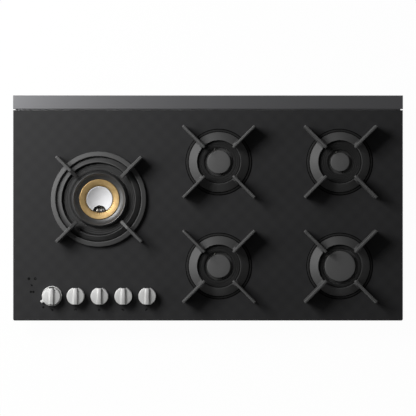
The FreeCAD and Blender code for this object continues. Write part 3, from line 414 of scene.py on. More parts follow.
# --- finishes ---------------------------------------------------------------------------------
class NodeBench:
    """Lays out the nodes of a material or of the world."""

    def __init__(self, owner: bpy.types.Material | bpy.types.World) -> None:
        """Opens the owner's node tree at its first shader."""
        owner.use_nodes = True
        self.owner = owner
        self.tree = owner.node_tree
        is_world = isinstance(owner, bpy.types.World)
        self.shader = self.tree.nodes["Background" if is_world else "Principled BSDF"]

    def set(self, node: bpy.types.Node, values: dict[str | int, object]) -> None:
        """Sets constant values of a node's inputs."""
        for socket, value in values.items():
            node.inputs[socket].default_value = value

    def add(self, kind: str, values: dict[str | int, object] | None = None,
            **settings: object) -> bpy.types.Node:
        """Adds a node and sets its properties and the values of its inputs."""
        node = self.tree.nodes.new(kind)
        for key, value in settings.items():
            setattr(node, key, value)
        self.set(node, values or {})
        return node

    def link(self, output: bpy.types.NodeSocket, target: bpy.types.NodeSocket) -> None:
        """Joins two sockets."""
        self.tree.links.new(output, target)

    def place(self, centre: Point = (0.0, 0.0),
              stretch: tuple[float, float, float] = (1.0, 1.0, 1.0)) -> bpy.types.NodeSocket:
        """Object coordinates, stretched and then moved so that centre is their origin."""
        away = (-centre[0] * MM, -centre[1] * MM, 0.0)
        mapping = self.add("ShaderNodeMapping", {"Location": away, "Scale": stretch})
        self.link(self.add("ShaderNodeTexCoord").outputs["Object"], mapping.inputs["Vector"])
        return mapping.outputs["Vector"]

    def pattern(self, kind: str, output: str, vector: bpy.types.NodeSocket,
                values: dict[str | int, object], **settings: object) -> bpy.types.NodeSocket:
        """Adds a texture node on a vector and gives one of its outputs."""
        node = self.add(kind, values, **settings)
        self.link(vector, node.inputs["Vector"])
        return node.outputs[output]

    def noise(self, vector: bpy.types.NodeSocket, size: float,
              detail: float = 3.0) -> bpy.types.NodeSocket:
        """Soft noise whose patches are about size millimetres across."""
        return self.pattern("ShaderNodeTexNoise", "Fac", vector,
                            {"Scale": 1.0 / (size * MM), "Detail": detail})

    def cells(self, vector: bpy.types.NodeSocket, size: float, output: str) -> bpy.types.NodeSocket:
        """Cell pattern, output Distance or Color, with cells of size millimetres."""
        return self.pattern("ShaderNodeTexVoronoi", output, vector, {"Scale": 1.0 / (size * MM)})

    def rings(self, vector: bpy.types.NodeSocket, pitch: float) -> bpy.types.NodeSocket:
        """Fine tool rings about the vector's vertical axis, pitch millimetres apart."""
        values = {"Scale": math.pi / (10.0 * pitch * MM), "Distortion": 0.6, "Detail": 2.0,
                  "Detail Scale": 1.5}
        return self.pattern("ShaderNodeTexWave", "Fac", vector, values, wave_type="RINGS",
                            rings_direction="Z", wave_profile="SIN")

    def math(self, operation: str, first: bpy.types.NodeSocket | float,
             second: bpy.types.NodeSocket | float = 0.0) -> bpy.types.NodeSocket:
        """One step of arithmetic on sockets or numbers."""
        node = self.add("ShaderNodeMath", operation=operation)
        for socket, value in zip(node.inputs, (first, second)):
            if isinstance(value, bpy.types.NodeSocket):
                self.link(value, socket)
            else:
                socket.default_value = value
        return node.outputs[0]

    def spread(self, value: bpy.types.NodeSocket, low: float, high: float,
               source: Point = (0.3, 0.7)) -> bpy.types.NodeSocket:
        """Maps a pattern value to the span from low to high."""
        node = self.add("ShaderNodeMapRange", {"From Min": source[0], "From Max": source[1],
                                               "To Min": low, "To Max": high})
        self.link(value, node.inputs["Value"])
        return node.outputs["Result"]

    def blend(self, share: bpy.types.NodeSocket, first: Colour,
              second: Colour) -> bpy.types.NodeSocket:
        """Mixes two colours by a share."""
        node = self.add("ShaderNodeMix", data_type="RGBA")
        self.set(node, {6: (*first, 1.0), 7: (*second, 1.0)})
        self.link(share, node.inputs[0])
        return node.outputs[2]

    def bump(self, height: bpy.types.NodeSocket, depth: float,
             under: bpy.types.NodeSocket | None = None) -> bpy.types.NodeSocket:
        """A relief depth millimetres deep, over another relief if one is given."""
        node = self.add("ShaderNodeBump", {"Strength": 1.0, "Distance": depth * MM})
        self.link(height, node.inputs["Height"])
        if under is not None:
            self.link(under, node.inputs["Normal"])
        return node.outputs["Normal"]


class Texture(Enum):
    """How a surface was made."""

    CAST = "sand cast or enamelled, with a fine pebble"
    BRUSHED = "brushed along X"
    TURNED = "turned on a lathe about its own axis"
    SPANGLED = "hot-dip galvanised"
    MOULDED = "moulded, with a fine spark-eroded grain"
    FOAM = "open foam or felt"


def grey(level: float) -> Colour:
    """A neutral linear colour."""
    return level, level, level


@dataclass(frozen=True)
class Finish:
    """A surface finish. Lengths are in millimetres and colours are linear."""

    name: str
    slot: str
    texture: Texture
    colour: Colour
    second: Colour
    roughness: float
    metallic: float = 0.0
    specular: float = 0.5
    roughness_spread: float = 0.08
    patch: float = 30.0
    grain: float = 0.8
    depth: float = 0.02
    patch_share: float = 0.6

    def material(self, centre: Point = (0.0, 0.0), suffix: str = "") -> bpy.types.Material:
        """Makes the material, or finds it if it has been made.

        Args:
            centre: the axis of a turned surface.
            suffix: added to the name where each piece has its own centre.

        Returns:
            The material.
        """
        name = self.name + suffix
        if name in bpy.data.materials:
            return bpy.data.materials[name]
        bench = NodeBench(bpy.data.materials.new(name))
        shader = bench.shader
        bench.set(shader, {"Metallic": self.metallic, "Specular IOR Level": self.specular})
        plain = bench.place()
        patches = bench.noise(plain, self.patch)
        relief, fine = self.relief(bench, plain, centre)
        share = bench.math("ADD", bench.math("MULTIPLY", patches, self.patch_share),
                           bench.math("MULTIPLY", fine, 1.0 - self.patch_share))
        bench.link(bench.blend(bench.spread(share, 0.0, 1.0), self.colour, self.second),
                   shader.inputs["Base Color"])
        low = max(0.02, self.roughness - self.roughness_spread)
        high = min(1.0, self.roughness + self.roughness_spread)
        bench.link(bench.spread(share, low, high), shader.inputs["Roughness"])
        bench.link(relief, shader.inputs["Normal"])
        return bench.owner

    def relief(self, bench: NodeBench, plain: bpy.types.NodeSocket,
               centre: Point) -> tuple[bpy.types.NodeSocket, bpy.types.NodeSocket]:
        """Builds the relief that belongs to the texture.

        Args:
            bench: the material's nodes.
            plain: object coordinates.
            centre: the axis of a turned surface.

        Returns:
            The bumped normal and the fine pattern that also varies the colour.
        """
        if self.texture is Texture.BRUSHED:
            fine = bench.noise(bench.place(stretch=(0.02, 1.0, 1.0)), self.grain, 2.0)
        elif self.texture is Texture.TURNED:
            fine = bench.rings(bench.place(centre), self.grain)
        elif self.texture is Texture.SPANGLED:
            fine = bench.cells(plain, self.grain, "Color")
        elif self.texture is Texture.FOAM:
            fine = bench.cells(plain, self.grain, "Distance")
        else:
            fine = bench.noise(plain, self.grain, 4.0)
        coarse = bench.bump(bench.noise(plain, self.grain * 6.0, 2.0), self.depth)
        return bench.bump(fine, self.depth, coarse), fine


@dataclass(frozen=True)
class GlassFinish:
    """Matt ceramic glass with a faint print of soft spots in a diagonal grid."""

    name: str = "matt_glass"
    colour: Colour = (0.024, 0.024, 0.025)
    second: Colour = (0.030, 0.030, 0.031)
    roughness: float = 0.52
    roughness_spread: float = 0.05
    specular: float = 0.22
    spot_pitch: float = 38.0
    spot_share: float = 0.35
    cloud: float = 60.0
    speck: float = 0.5
    depth: float = 0.006

    def material(self) -> bpy.types.Material:
        """Makes the material, or finds it if it has been made."""
        if self.name in bpy.data.materials:
            return bpy.data.materials[self.name]
        bench = NodeBench(bpy.data.materials.new(self.name))
        shader = bench.shader
        bench.set(shader, {"Specular IOR Level": self.specular})
        plain = bench.place()
        parts = bench.add("ShaderNodeSeparateXYZ")
        bench.link(plain, parts.inputs[0])
        rate = 2.0 * math.pi / (self.spot_pitch * MM)
        waves = [bench.math("COSINE", bench.math("MULTIPLY", parts.outputs[axis], rate))
                 for axis in (0, 1)]
        spots = bench.math("MULTIPLY", waves[0], waves[1])
        cloud = bench.noise(plain, self.cloud)
        specks = bench.noise(plain, self.speck, 2.0)
        share = bench.math("ADD", bench.math("MULTIPLY", spots, self.spot_share),
                           bench.math("MULTIPLY", bench.math("ADD", cloud, specks), 0.5))
        bench.link(bench.blend(bench.spread(share, 0.0, 1.0, (0.0, 1.0)), self.colour, self.second),
                   shader.inputs["Base Color"])
        bench.link(bench.spread(specks, self.roughness - self.roughness_spread,
                                self.roughness + self.roughness_spread), shader.inputs["Roughness"])
        bench.link(bench.bump(specks, self.depth), shader.inputs["Normal"])
        return bench.owner


GLASS = GlassFinish()
TRIM_METAL = Finish("trim_metal", "trim_metal", Texture.BRUSHED, (0.019, 0.019, 0.020),
                    (0.026, 0.026, 0.027), 0.45, specular=0.3, grain=0.5, depth=0.01)
STEEL_SHEET = Finish("zinc_steel", "steel_sheet", Texture.BRUSHED, (0.46, 0.46, 0.47),
                     (0.58, 0.58, 0.59), 0.38, metallic=1.0, grain=0.4)
TRAY_METAL = Finish("galvanised_tray", "tray_metal", Texture.SPANGLED, (0.36, 0.37, 0.38),
                    (0.50, 0.51, 0.52), 0.42, metallic=0.85, grain=9.0, depth=0.01)
SEAL_FOAM = Finish("seal_foam", "seal_foam", Texture.FOAM, grey(0.020), grey(0.032), 0.9,
                   grain=1.2, depth=0.2)
BRASS = Finish("satin_brass", "brass", Texture.CAST, (0.54, 0.35, 0.14), (0.68, 0.48, 0.22),
               0.42, metallic=0.7, grain=0.7, depth=0.05, patch=9.0)
ALLOY = Finish("cast_alloy", "alloy", Texture.CAST, grey(0.45), grey(0.56), 0.5, metallic=0.9,
               grain=0.9, depth=0.04)
BURNER_ALLOY = Finish("coated_alloy", "burner_alloy", Texture.TURNED, grey(0.090),
                      (0.120, 0.120, 0.119), 0.42, metallic=0.7, grain=0.5, depth=0.01)
CAP_ENAMEL = Finish("cap_enamel", "cap_enamel", Texture.CAST, grey(0.120), grey(0.150), 0.45,
                    metallic=0.85, grain=0.6, depth=0.01, roughness_spread=0.03)
DISH_ENAMEL = Finish("dish_enamel", "enamel_dish", Texture.TURNED, grey(0.014), grey(0.020),
                     0.6, specular=0.2, grain=0.7, depth=0.01)
WOK_ENAMEL = Finish("wok_dish_enamel", "enamel_dish", Texture.TURNED, grey(0.036), grey(0.046),
                    0.5, specular=0.3, grain=0.7, depth=0.01)
# Near-black beads: partly a real gasket, partly painted shadow at the flange edge and under the pan
# support's foot.
GASKET_AND_SHADE_BLACK = Finish("gasket_and_shadow_beads", "enamel_dish", Texture.MOULDED, grey(0.002), grey(0.003),
                     0.9, specular=0.05, grain=0.6)
CAST_IRON = Finish("cast_iron", "cast_iron", Texture.CAST, grey(0.135), (0.175, 0.175, 0.174),
                   0.50, metallic=0.8, grain=1.1, depth=0.05, roughness_spread=0.05)
CERAMIC = Finish("glazed_ceramic", "ceramic", Texture.MOULDED, (0.20, 0.195, 0.185),
                 (0.26, 0.25, 0.24), 0.4, grain=1.5, depth=0.01)
ELECTRODE_STEEL = Finish("electrode_steel", "ceramic", Texture.BRUSHED, (0.30, 0.29, 0.28),
                         (0.38, 0.37, 0.35), 0.4, metallic=1.0, grain=0.3)
PROBE_STEEL = Finish("probe_steel", "steel_sheet", Texture.BRUSHED, (0.050, 0.048, 0.045),
                     (0.070, 0.067, 0.064), 0.5, metallic=1.0, grain=0.3)
WHITE_CERAMIC = Finish("white_ceramic", "ceramic", Texture.MOULDED, (0.74, 0.73, 0.71),
                       (0.82, 0.81, 0.79), 0.25, grain=1.5, depth=0.01)
BRIGHT_STEEL = Finish("bright_steel", "steel_sheet", Texture.BRUSHED, (0.60, 0.59, 0.57),
                      (0.70, 0.69, 0.67), 0.35, metallic=0.8, grain=0.3)
BLACK_PLASTIC = Finish("black_plastic", "plastic_black", Texture.MOULDED, grey(0.018),
                       grey(0.026), 0.55, grain=0.5)
LIGHT_PLASTIC = Finish("light_plastic", "plastic_light", Texture.MOULDED, (0.62, 0.60, 0.54),
                       (0.68, 0.66, 0.60), 0.5, grain=0.5)
RUBBER = Finish("black_rubber", "rubber", Texture.MOULDED, grey(0.012), grey(0.020), 0.8,
                grain=0.6)
GASKET = Finish("fibre_gasket", "gasket", Texture.FOAM, (0.22, 0.22, 0.21), (0.30, 0.30, 0.29),
                0.95, grain=0.8, depth=0.05)
BOWL_STEEL = Finish("spun_steel", "bowl_steel", Texture.TURNED, (0.67, 0.67, 0.68),
                    (0.75, 0.75, 0.76), 0.70, metallic=0.1, grain=0.9, depth=0.004,
                    roughness_spread=0.04)
KNOB_METAL = Finish("satin_knob", "knob_metal", Texture.TURNED, (0.66, 0.66, 0.65),
                    (0.80, 0.80, 0.79), 0.50, metallic=0.55, grain=0.6, depth=0.012,
                    roughness_spread=0.05)
PRINT_INK = Finish("panel_print", "glass", Texture.MOULDED, grey(0.004), grey(0.006), 0.6,
                   specular=0.1, grain=0.4, depth=0.004)


def dress(piece: bpy.types.Object, finish: Finish, body: str, *nodes: str,
          centre: Point | None = None) -> bpy.types.Object:
    """Gives a new piece its finish, its body and the nodes that it stands for.

    Args:
        piece: the finished mesh.
        finish: its surface.
        body: the CAD body that it moves with.
        *nodes: CAD nodes that it replaces.
        centre: the axis of its turning marks.

    Returns:
        The piece.
    """
    material = finish.material() if centre is None else finish.material(centre, "_" + piece.name)
    piece.data.materials.clear()
    piece.data.materials.append(material)
    choose(piece)
    bpy.ops.object.shade_smooth_by_angle(angle=SMOOTH_ANGLE)
    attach(piece, body)
    if nodes:
        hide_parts(*nodes)
    LOG.info("%s: %d faces, on %s", piece.name, len(piece.data.polygons), body)
    return piece


# --- pan supports -----------------------------------------------------------------------------
@dataclass
class PanSupport:
    """A cast support with four fins, modelled with its fins along X and Y."""

    fin_outline: Section
    rings: list[Section]
    foot_half: float
    top_half: float
    web_outline: Section = field(default_factory=list)
    web_half: float = 5.6
    ring_centre: Point = (0.0, 0.0)
    voxel: float = 0.8
    edge: float = 1.0
    segments: int = 128

    def fin(self) -> bpy.types.Object:
        """One fin with drafted sides, reaching out along X."""
        reach = max(radius for radius, _ in self.fin_outline) + 1.0
        slab = traced("fin", self.fin_outline, -self.foot_half - 1.0, self.foot_half + 1.0,
                      Sheet.UPRIGHT)
        top, bottom = PAN_TOP, GRATE_BOTTOM
        section = [(-self.foot_half, bottom), (self.foot_half, bottom),
                   (self.top_half, top - self.edge), (self.top_half - self.edge, top),
                   (self.edge - self.top_half, top), (-self.top_half, top - self.edge)]
        bar = traced("bar", section, 0.0, -reach, Sheet.UPRIGHT)
        bar.data.transform(Matrix.Rotation(math.radians(90.0), 4, "Z"))
        return combined(slab, [bar], "INTERSECT")

    def cast(self, name: str) -> bpy.types.Object:
        """Fuses rings, fins and webs and softens them as a casting.

        Args:
            name: the piece's name.

        Returns:
            The support round the origin.
        """
        shells = [turned("ring", self.ring_centre, eased(section, 0.5), self.segments)
                  for section in self.rings]
        shells.append(around(self.fin(), "fins", (0.0, 0.0), even_angles(4)))
        if self.web_outline:
            web = traced("web", self.web_outline, -self.web_half, self.web_half, Sheet.UPRIGHT)
            shells.append(around(web, "webs", (0.0, 0.0), even_angles(4)))
        support = joined(shells, name)
        finish_modifier(support, "REMESH", mode="VOXEL", voxel_size=self.voxel * MM)
        finish_modifier(support, "SMOOTH", factor=0.5, iterations=3)
        finish_modifier(support, "DECIMATE", ratio=0.4)
        return support


def rounded_end(outline: Section, corner: int, radius: float, steps: int = 5) -> Section:
    """Rounds one corner of an outline with an arc.

    Args:
        outline: the corners.
        corner: index of the corner.
        radius: distance from the corner to where the arc starts.
        steps: pieces of the arc.

    Returns:
        The outline with the arc in place of the corner.
    """
    here = Vector(outline[corner])
    start = here + (Vector(outline[corner - 1]) - here).normalized() * radius
    end = here + (Vector(outline[(corner + 1) % len(outline)]) - here).normalized() * radius
    arc = []
    for step in range(steps + 1):
        share = step / steps
        arc.append(tuple(start * (1 - share) ** 2 + here * (2 * share * (1 - share))
                         + end * share ** 2))
    return outline[:corner] + arc + outline[corner + 1:]


def small_support() -> PanSupport:
    """Sizes of the four smaller supports."""
    top, bottom = PAN_TOP, GRATE_BOTTOM
    outline = [(115, bottom), (117, top), (46, top), (46, top - 14), (50.5, bottom + 16),
               (66, bottom)]
    cone = [(69.5, bottom), (69.5, bottom + 1.6), (50.5, bottom + 15.6), (49.9, bottom + 15.2),
            (49.8, bottom + 12), (65.0, bottom)]
    web = [(68.8, bottom + 1), (67, bottom + 12), (58, bottom + 25), (50.6, bottom + 25),
           (50.6, bottom + 15), (64.5, bottom + 1)]
    return PanSupport(rounded_end(rounded_end(outline, 2, 3.0), 1, 3.0), [cone], 3.8, 3.0, web)


def large_support() -> PanSupport:
    """Sizes of the wok burner's support."""
    top, bottom = PAN_TOP, GRATE_BOTTOM
    outline = [(137, bottom), (139, top), (92, top), (71, top - 15), (71, top - 21),
               (84, bottom + 11), (93, bottom)]
    cone = [(97, bottom), (97, bottom + 1.6), (85.4, bottom + 12.6), (84.4, bottom + 12.2),
            (84.4, bottom + 8), (92.8, bottom)]
    band = [(99.2, bottom + 3.5), (109.6, bottom + 3.5), (110, bottom + 7), (109.4, bottom + 8),
            (99.4, bottom + 11), (98.6, bottom + 10.4)]
    return PanSupport(rounded_end(rounded_end(outline, 3, 2.0), 1, 3.0), [cone, band], 4.3, 3.5,
                      ring_centre=(-1.3, 2.1))


class Supports:
    """All five pan supports."""

    fin_angle = 45.0

    def set_out(self, model: bpy.types.Object, tail: str, node: str, body: str) -> None:
        """Puts one turned copy of a casting in the place of a CAD node."""
        piece = copied(model, "support_casting_" + tail, extent(node).centre, self.fin_angle)
        dress(piece, CAST_IRON, body, node)

    def build(self) -> None:
        """Casts one small and one large support and sets them out."""
        small = small_support().cast("small_support")
        for name in SMALL_NAMES:
            self.set_out(small, name, "pan_support_" + name, "support_" + name)
        remove(small)
        large = large_support().cast("large_support")
        self.set_out(large, "wok", "wok_pan_support", "wok_support")
        remove(large)


# --- burners ----------------------------------------------------------------------------------
DISH_THICKNESS = 1.2
CUP_TOP = GLASS_TOP - 5.0
CROWN_TOP = GLASS_TOP + 12.0
TRIM_SCREW_ANGLES = (30.0, 150.0, 270.0)
SCREW_CIRCLE_SMALL = 50.0
SCREW_CIRCLE_WOK = 73.0


def gasket_and_shadow_beads(name: str, centre: Point, flange: float, foot: float) -> bpy.types.Object:
    """Two black beads: a gasket round the flange, near-black to paint the shadow line at its edge,
    and a painted contact shadow under the foot of the pan support.

    Args:
        name: the piece's name.
        centre: its axis.
        flange: outer radius of the outer bead.
        foot: radius of the pan support's foot.

    Returns:
        Both beads as one piece.
    """
    top = GLASS_TOP + DISH_THICKNESS
    beads = [rectangle(flange - 2.4, flange, GLASS_TOP, GLASS_TOP + 0.4),
             rectangle(foot - 1.0, foot + 1.5, top - 0.3, top + 0.1)]
    return joined([turned("bead", centre, eased(bead, 0.1), 128) for bead in beads], name)


def trim_dish(name: str, centre: Point, hole: float, flange: float, inner: float,
              plateau: float, rise: float) -> bpy.types.Object:
    """A pressed dish: a flange on the glass, a raised plateau inside, a skirt in the hole.

    Args:
        name: the piece's name.
        centre: its axis.
        hole: radius of the hole in the glass.
        flange: outer radius.
        inner: radius of the opening in its plateau.
        plateau: outer radius of its plateau.
        rise: height of the plateau above the glass.

    Returns:
        The dish.
    """
    thick = DISH_THICKNESS
    top = GLASS_TOP + thick
    plate = GLASS_TOP + rise
    collar = hole - 0.6
    foot = max(collar - thick, plateau + 0.6)
    pitch = 4.0
    section = [(flange, GLASS_TOP), (flange, GLASS_TOP + 0.5), (flange - 1.0, top), (foot, top),
               (plateau, plate)]
    groove = plateau - pitch
    while groove > inner + 3.0:
        section += [(groove + 0.5, plate), (groove, plate - 0.5), (groove - 0.5, plate)]
        groove -= pitch
    under = min(plateau, collar - 2.0) - 0.8
    section += [(inner, plate), (inner, plate - thick), (under, plate - thick),
                (collar - thick, GLASS_TOP - 0.5), (collar - thick, CUP_TOP), (collar, CUP_TOP),
                (collar, GLASS_TOP)]
    return turned(name, centre, eased(section, 0.4), 128)


@dataclass(frozen=True)
class Igniter:
    """Spark electrode and flame probe of one burner, with their places and heights."""

    name: str
    spark: Point
    probe: Point
    foot: float
    collar: float
    spark_tip: float
    probe_tip: float

    def ceramic(self) -> bpy.types.Object:
        """The electrode's glazed body with three ribs."""
        foot, collar = self.foot, self.collar
        body, waist, rib = 2.4, 2.0, 1.1
        section: Section = [(0.0, foot), (body, foot)]
        for step in range(3):
            low = collar - 2.0 - rib * 2 * (3 - step)
            section += [(body, low), (waist, low + rib * 0.4), (waist, low + rib),
                        (body, low + rib * 1.4)]
        section += [(body, collar - 0.6), (body - 0.6, collar), (0.9, collar), (0.0, collar)]
        return turned("spark_ceramic_" + self.name, self.spark, section, 32)

    def pin(self) -> bpy.types.Object:
        """The electrode's steel pin, with a turned collar and a rounded end."""
        foot, tip = self.collar, self.spark_tip
        section: Section = [(0.0, foot), (1.5, foot), (1.5, foot + 0.5), (0.9, foot + 0.8),
                            (0.9, tip - 0.5), (0.6, tip - 0.12), (0.0, tip)]
        return turned("spark_pin_" + self.name, self.spark, section, 24)

    def tube(self) -> bpy.types.Object:
        """The flame probe, a steel tube that steps down to a rounded sensing tip."""
        body, neck, tip = 2.0, 1.6, self.probe_tip
        section: Section = [(0.0, self.foot), (body, self.foot), (body, tip - 5.0),
                            (neck, tip - 4.4), (neck, tip - 1.2), (1.1, tip - 0.3), (0.0, tip)]
        return turned("flame_probe_" + self.name, self.probe, section, 32)

    def build(self, glaze: Finish, pin_steel: Finish, probe_steel: Finish) -> None:
        """Models and dresses the three pieces."""
        dress(self.ceramic(), glaze, "cooktop", "spark_electrodes")
        dress(self.pin(), pin_steel, "cooktop", "spark_electrodes")
        dress(self.tube(), probe_steel, "cooktop", "thermocouples")


@dataclass
class SmallBurner:
    """Crown, cap, dish, electrode and probe of one of the four smaller burners."""

    name: str
    spark_angle: float
    ports: int
    probe_turn: float = 178.0
    port_width: float = 1.6
    lip: float = 1.7
    bore: float = 7.0
    tube: float = 8.7
    dish_hole: float = 60.0
    dish_flange: float = 75.2
    dish_gap: float = 6.7
    plateau: float = 48.6
    plateau_rise: float = 11.0
    # Radii of the black beads; the bead at the support's foot is painted contact shadow, the flange
    # bead is a gasket darkened as painted shadow.
    flange_bead: float = 77.0
    foot_shadow_bead: float = 69.5

    def __post_init__(self) -> None:
        """Reads the burner's place and radii from the frame."""
        cap = extent("cap_" + self.name)
        crown = extent("crown_" + self.name)
        self.centre = cap.centre
        self.cap_radius = cap.radius
        self.cap_top = cap.high.z
        self.crown_radius = crown.radius
        self.crown_foot = crown.low.z
        self.wall = self.cap_radius - 1.0

    def crown(self) -> bpy.types.Object:
        """The crown with its lip and its ring of open ports."""
        stem = self.wall - 1.0
        rim = self.crown_radius
        deck = GLASS_TOP + 6.0
        foot = self.crown_foot
        section = [(self.bore, foot), (self.tube, foot), (self.tube, CUP_TOP), (stem, CUP_TOP),
                   (stem, deck - 2), (rim, deck - 2), (rim, deck + 1.5),
                   (rim - self.lip, deck + 1.5), (rim - self.lip, deck), (self.wall, deck),
                   (self.wall, CROWN_TOP), (self.wall - 3, CROWN_TOP), (self.wall - 3, deck - 8),
                   (self.bore, deck - 8)]
        piece = turned("burner_crown_" + self.name, self.centre, eased(section, 0.35), 120)
        half = self.port_width / 2
        port = block("port", (self.wall - 5, -half, CROWN_TOP - 4),
                     (self.wall + 1, half, CROWN_TOP + 1))
        ports = around(port, "ports", self.centre, even_angles(self.ports))
        return combined(piece, [ports, *self.clearances()], "DIFFERENCE")

    def clearances(self) -> list[bpy.types.Object]:
        """Cutters for the holes in the crown's deck for the electrode and the probe."""
        return [cylinder(place, radius, GLASS_TOP + 1, CROWN_TOP)
                for place, radius in ((self.spark_place(), 3.0), (self.probe_place(), 2.5))]

    def cap(self) -> bpy.types.Object:
        """The enamelled cap with its slight dome."""
        radius = self.cap_radius
        inner = self.wall - 6.0
        rib = self.wall - 3.6
        shoulder = self.cap_top - 0.8
        edge = (radius - 1.8, shoulder + 0.05)
        section = [(0.0, CROWN_TOP + 2.4), (inner, CROWN_TOP + 2.4), (inner, CROWN_TOP - 2),
                   (rib, CROWN_TOP - 2), (rib, CROWN_TOP), (radius - 0.4, CROWN_TOP),
                   (radius, CROWN_TOP + 0.4), (radius, shoulder - 1.6),
                   (radius - 0.3, shoulder - 0.7), (radius - 0.9, shoulder - 0.1), edge]
        section += bow(edge, (0.0, self.cap_top), -0.3, 10)
        return turned("burner_cap_" + self.name, self.centre, section, 120)

    def spark_place(self) -> Point:
        """Where the spark electrode stands."""
        return polar(self.centre, self.cap_radius + 2.7, self.spark_angle)

    def probe_place(self) -> Point:
        """Where the flame probe stands."""
        return polar(self.centre, self.cap_radius + 2.0, self.spark_angle + self.probe_turn)

    def build(self) -> None:
        """Models and dresses the whole burner."""
        name = self.name
        dress(self.crown(), BURNER_ALLOY, "burner_" + name, "crown_" + name, centre=self.centre)
        dress(self.cap(), CAP_ENAMEL, "lid_" + name, "cap_" + name)
        dish = trim_dish("trim_dish_" + name, self.centre, self.dish_hole, self.dish_flange,
                         self.cap_radius + self.dish_gap, self.plateau, self.plateau_rise)
        dress(dish, DISH_ENAMEL, "cooktop", "burner_trim_rings", centre=self.centre)
        # The black beads paint the shadow line round the flange and the contact shadow under the
        # support's foot.
        beads = gasket_and_shadow_beads("gasket_and_shadow_beads_" + name, self.centre, self.flange_bead, self.foot_shadow_bead)
        dress(beads, GASKET_AND_SHADE_BLACK, "cooktop", "burner_trim_rings")
        tip = extent("spark_electrodes").high.z
        igniter = Igniter(name, self.spark_place(), self.probe_place(), foot=GLASS_TOP - 8,
                          collar=tip - 4.5, spark_tip=tip, probe_tip=GLASS_TOP + 9)
        igniter.build(CERAMIC, ELECTRODE_STEEL, PROBE_STEEL)


@dataclass
class WokBurner:
    """Outer ring, brass flame ring, bowl, dish, electrode and probe of the wok burner."""

    slots: int = 40
    slot_half: float = 0.8
    groove_half: float = 0.45
    bowl_radius: float = 30.0
    bowl_rim: float = 10.4
    recess_radius: float = 16.5
    recess_offset: float = 30.5
    igniter_offset: float = 25.5
    igniter_spread: float = 5.0
    dish_hole: float = 80.0
    dish_flange: float = 96.0
    dish_inner: float = 67.0
    plateau: float = 81.4
    plateau_rise: float = 5.0

    def __post_init__(self) -> None:
        """Reads the burner's place from the frame."""
        self.centre = extent("wok_flame_ring").centre
        self.shelf = GLASS_TOP + 7.0
        self.crest = extent("wok_burner_ring").high.z

    def outer_ring(self) -> bpy.types.Object:
        """The ring that slopes up to a thin crest and sweeps down inside."""
        crest = self.crest
        section = [(57.0, CUP_TOP), (66.0, CUP_TOP), (66.0, self.shelf + 1), (60.8, crest - 0.6),
                   (60.0, crest), (58.8, crest - 0.6)]
        section += bow((58.8, crest - 0.6), (46.8, self.shelf + 4.6), 1.9, 10)
        section += [(46.8, self.shelf), (34.0, self.shelf), (34.0, self.shelf - 5),
                    (57.0, self.shelf - 5)]
        piece = turned("wok_outer_ring", self.centre, eased(section, 0.25), 160)
        x, y = self.centre
        notch = block("notch", (x - 1.2, y - 70, crest - 1.6), (x + 1.2, y - 55, crest + 1))
        return combined(piece, [notch], "DIFFERENCE")

    def flame_ring(self) -> bpy.types.Object:
        """The brass ring, slotted round its inner edge and grooved round its outer edge."""
        shelf = self.shelf
        base = shelf + 0.05
        skirt = 62.0
        section = [(31.0, skirt), (33.6, skirt), (33.6, base), (46.2, base), (46.2, shelf + 5.2),
                   (45.2, shelf + 5.8), (31.6, shelf + 3.2), (31.0, shelf + 2.6)]
        piece = turned("wok_brass_ring", self.centre, eased(section, 0.3), 160)
        half = self.slot_half
        slot = block("slot", (30.0, -half, skirt + 1.5), (34.4, half, shelf + 6))
        slots = around(slot, "slots", self.centre, even_angles(self.slots))
        half = self.groove_half
        groove = block("groove", (45.4, -half, shelf + 2), (47.0, half, shelf + 7))
        half_step = 180.0 / self.slots
        grooves = around(groove, "grooves", self.centre,
                         [angle + half_step for angle in even_angles(self.slots * 2)])
        return combined(piece, [slots, grooves], "DIFFERENCE")

    def bowl(self) -> bpy.types.Object:
        """The concave steel bowl, cut away at the front."""
        bottom = GLASS_TOP - 0.2
        rim = GLASS_TOP + self.bowl_rim
        radius = self.bowl_radius
        section = [(0.0, bottom), (12.6, bottom), (radius, rim - 1.4), (radius, rim - 0.4),
                   (radius - 0.4, rim), (radius - 1.0, rim)]
        section += bow((radius - 1.0, rim), (0.0, bottom + 1.2), 2.2, 14)
        piece = turned("wok_steel_bowl", self.centre, section, 128)
        x, y = self.centre
        cutter = cylinder((x, y - self.recess_offset), self.recess_radius, bottom - 1, rim + 1, 96)
        return combined(piece, [cutter], "DIFFERENCE")

    def build(self) -> None:
        """Models and dresses the whole burner."""
        dress(self.outer_ring(), BURNER_ALLOY, "wok_ring", "wok_burner_ring", centre=self.centre)
        dress(self.flame_ring(), BRASS, "wok_flame", "wok_flame_ring")
        dress(self.bowl(), BOWL_STEEL, "wok_centre", "wok_bowl", centre=self.centre)
        dish = trim_dish("trim_dish_wok", self.centre, self.dish_hole, self.dish_flange,
                         self.dish_inner, self.plateau, self.plateau_rise)
        dress(dish, WOK_ENAMEL, "cooktop", "burner_trim_rings", centre=self.centre)
        x, y = self.centre
        row = y - self.igniter_offset
        igniter = Igniter("wok", (x - self.igniter_spread, row), (x + self.igniter_spread, row),
                          foot=44.0, collar=64.0, spark_tip=68.5, probe_tip=67.0)
        igniter.build(WHITE_CERAMIC, BRIGHT_STEEL, BRIGHT_STEEL)


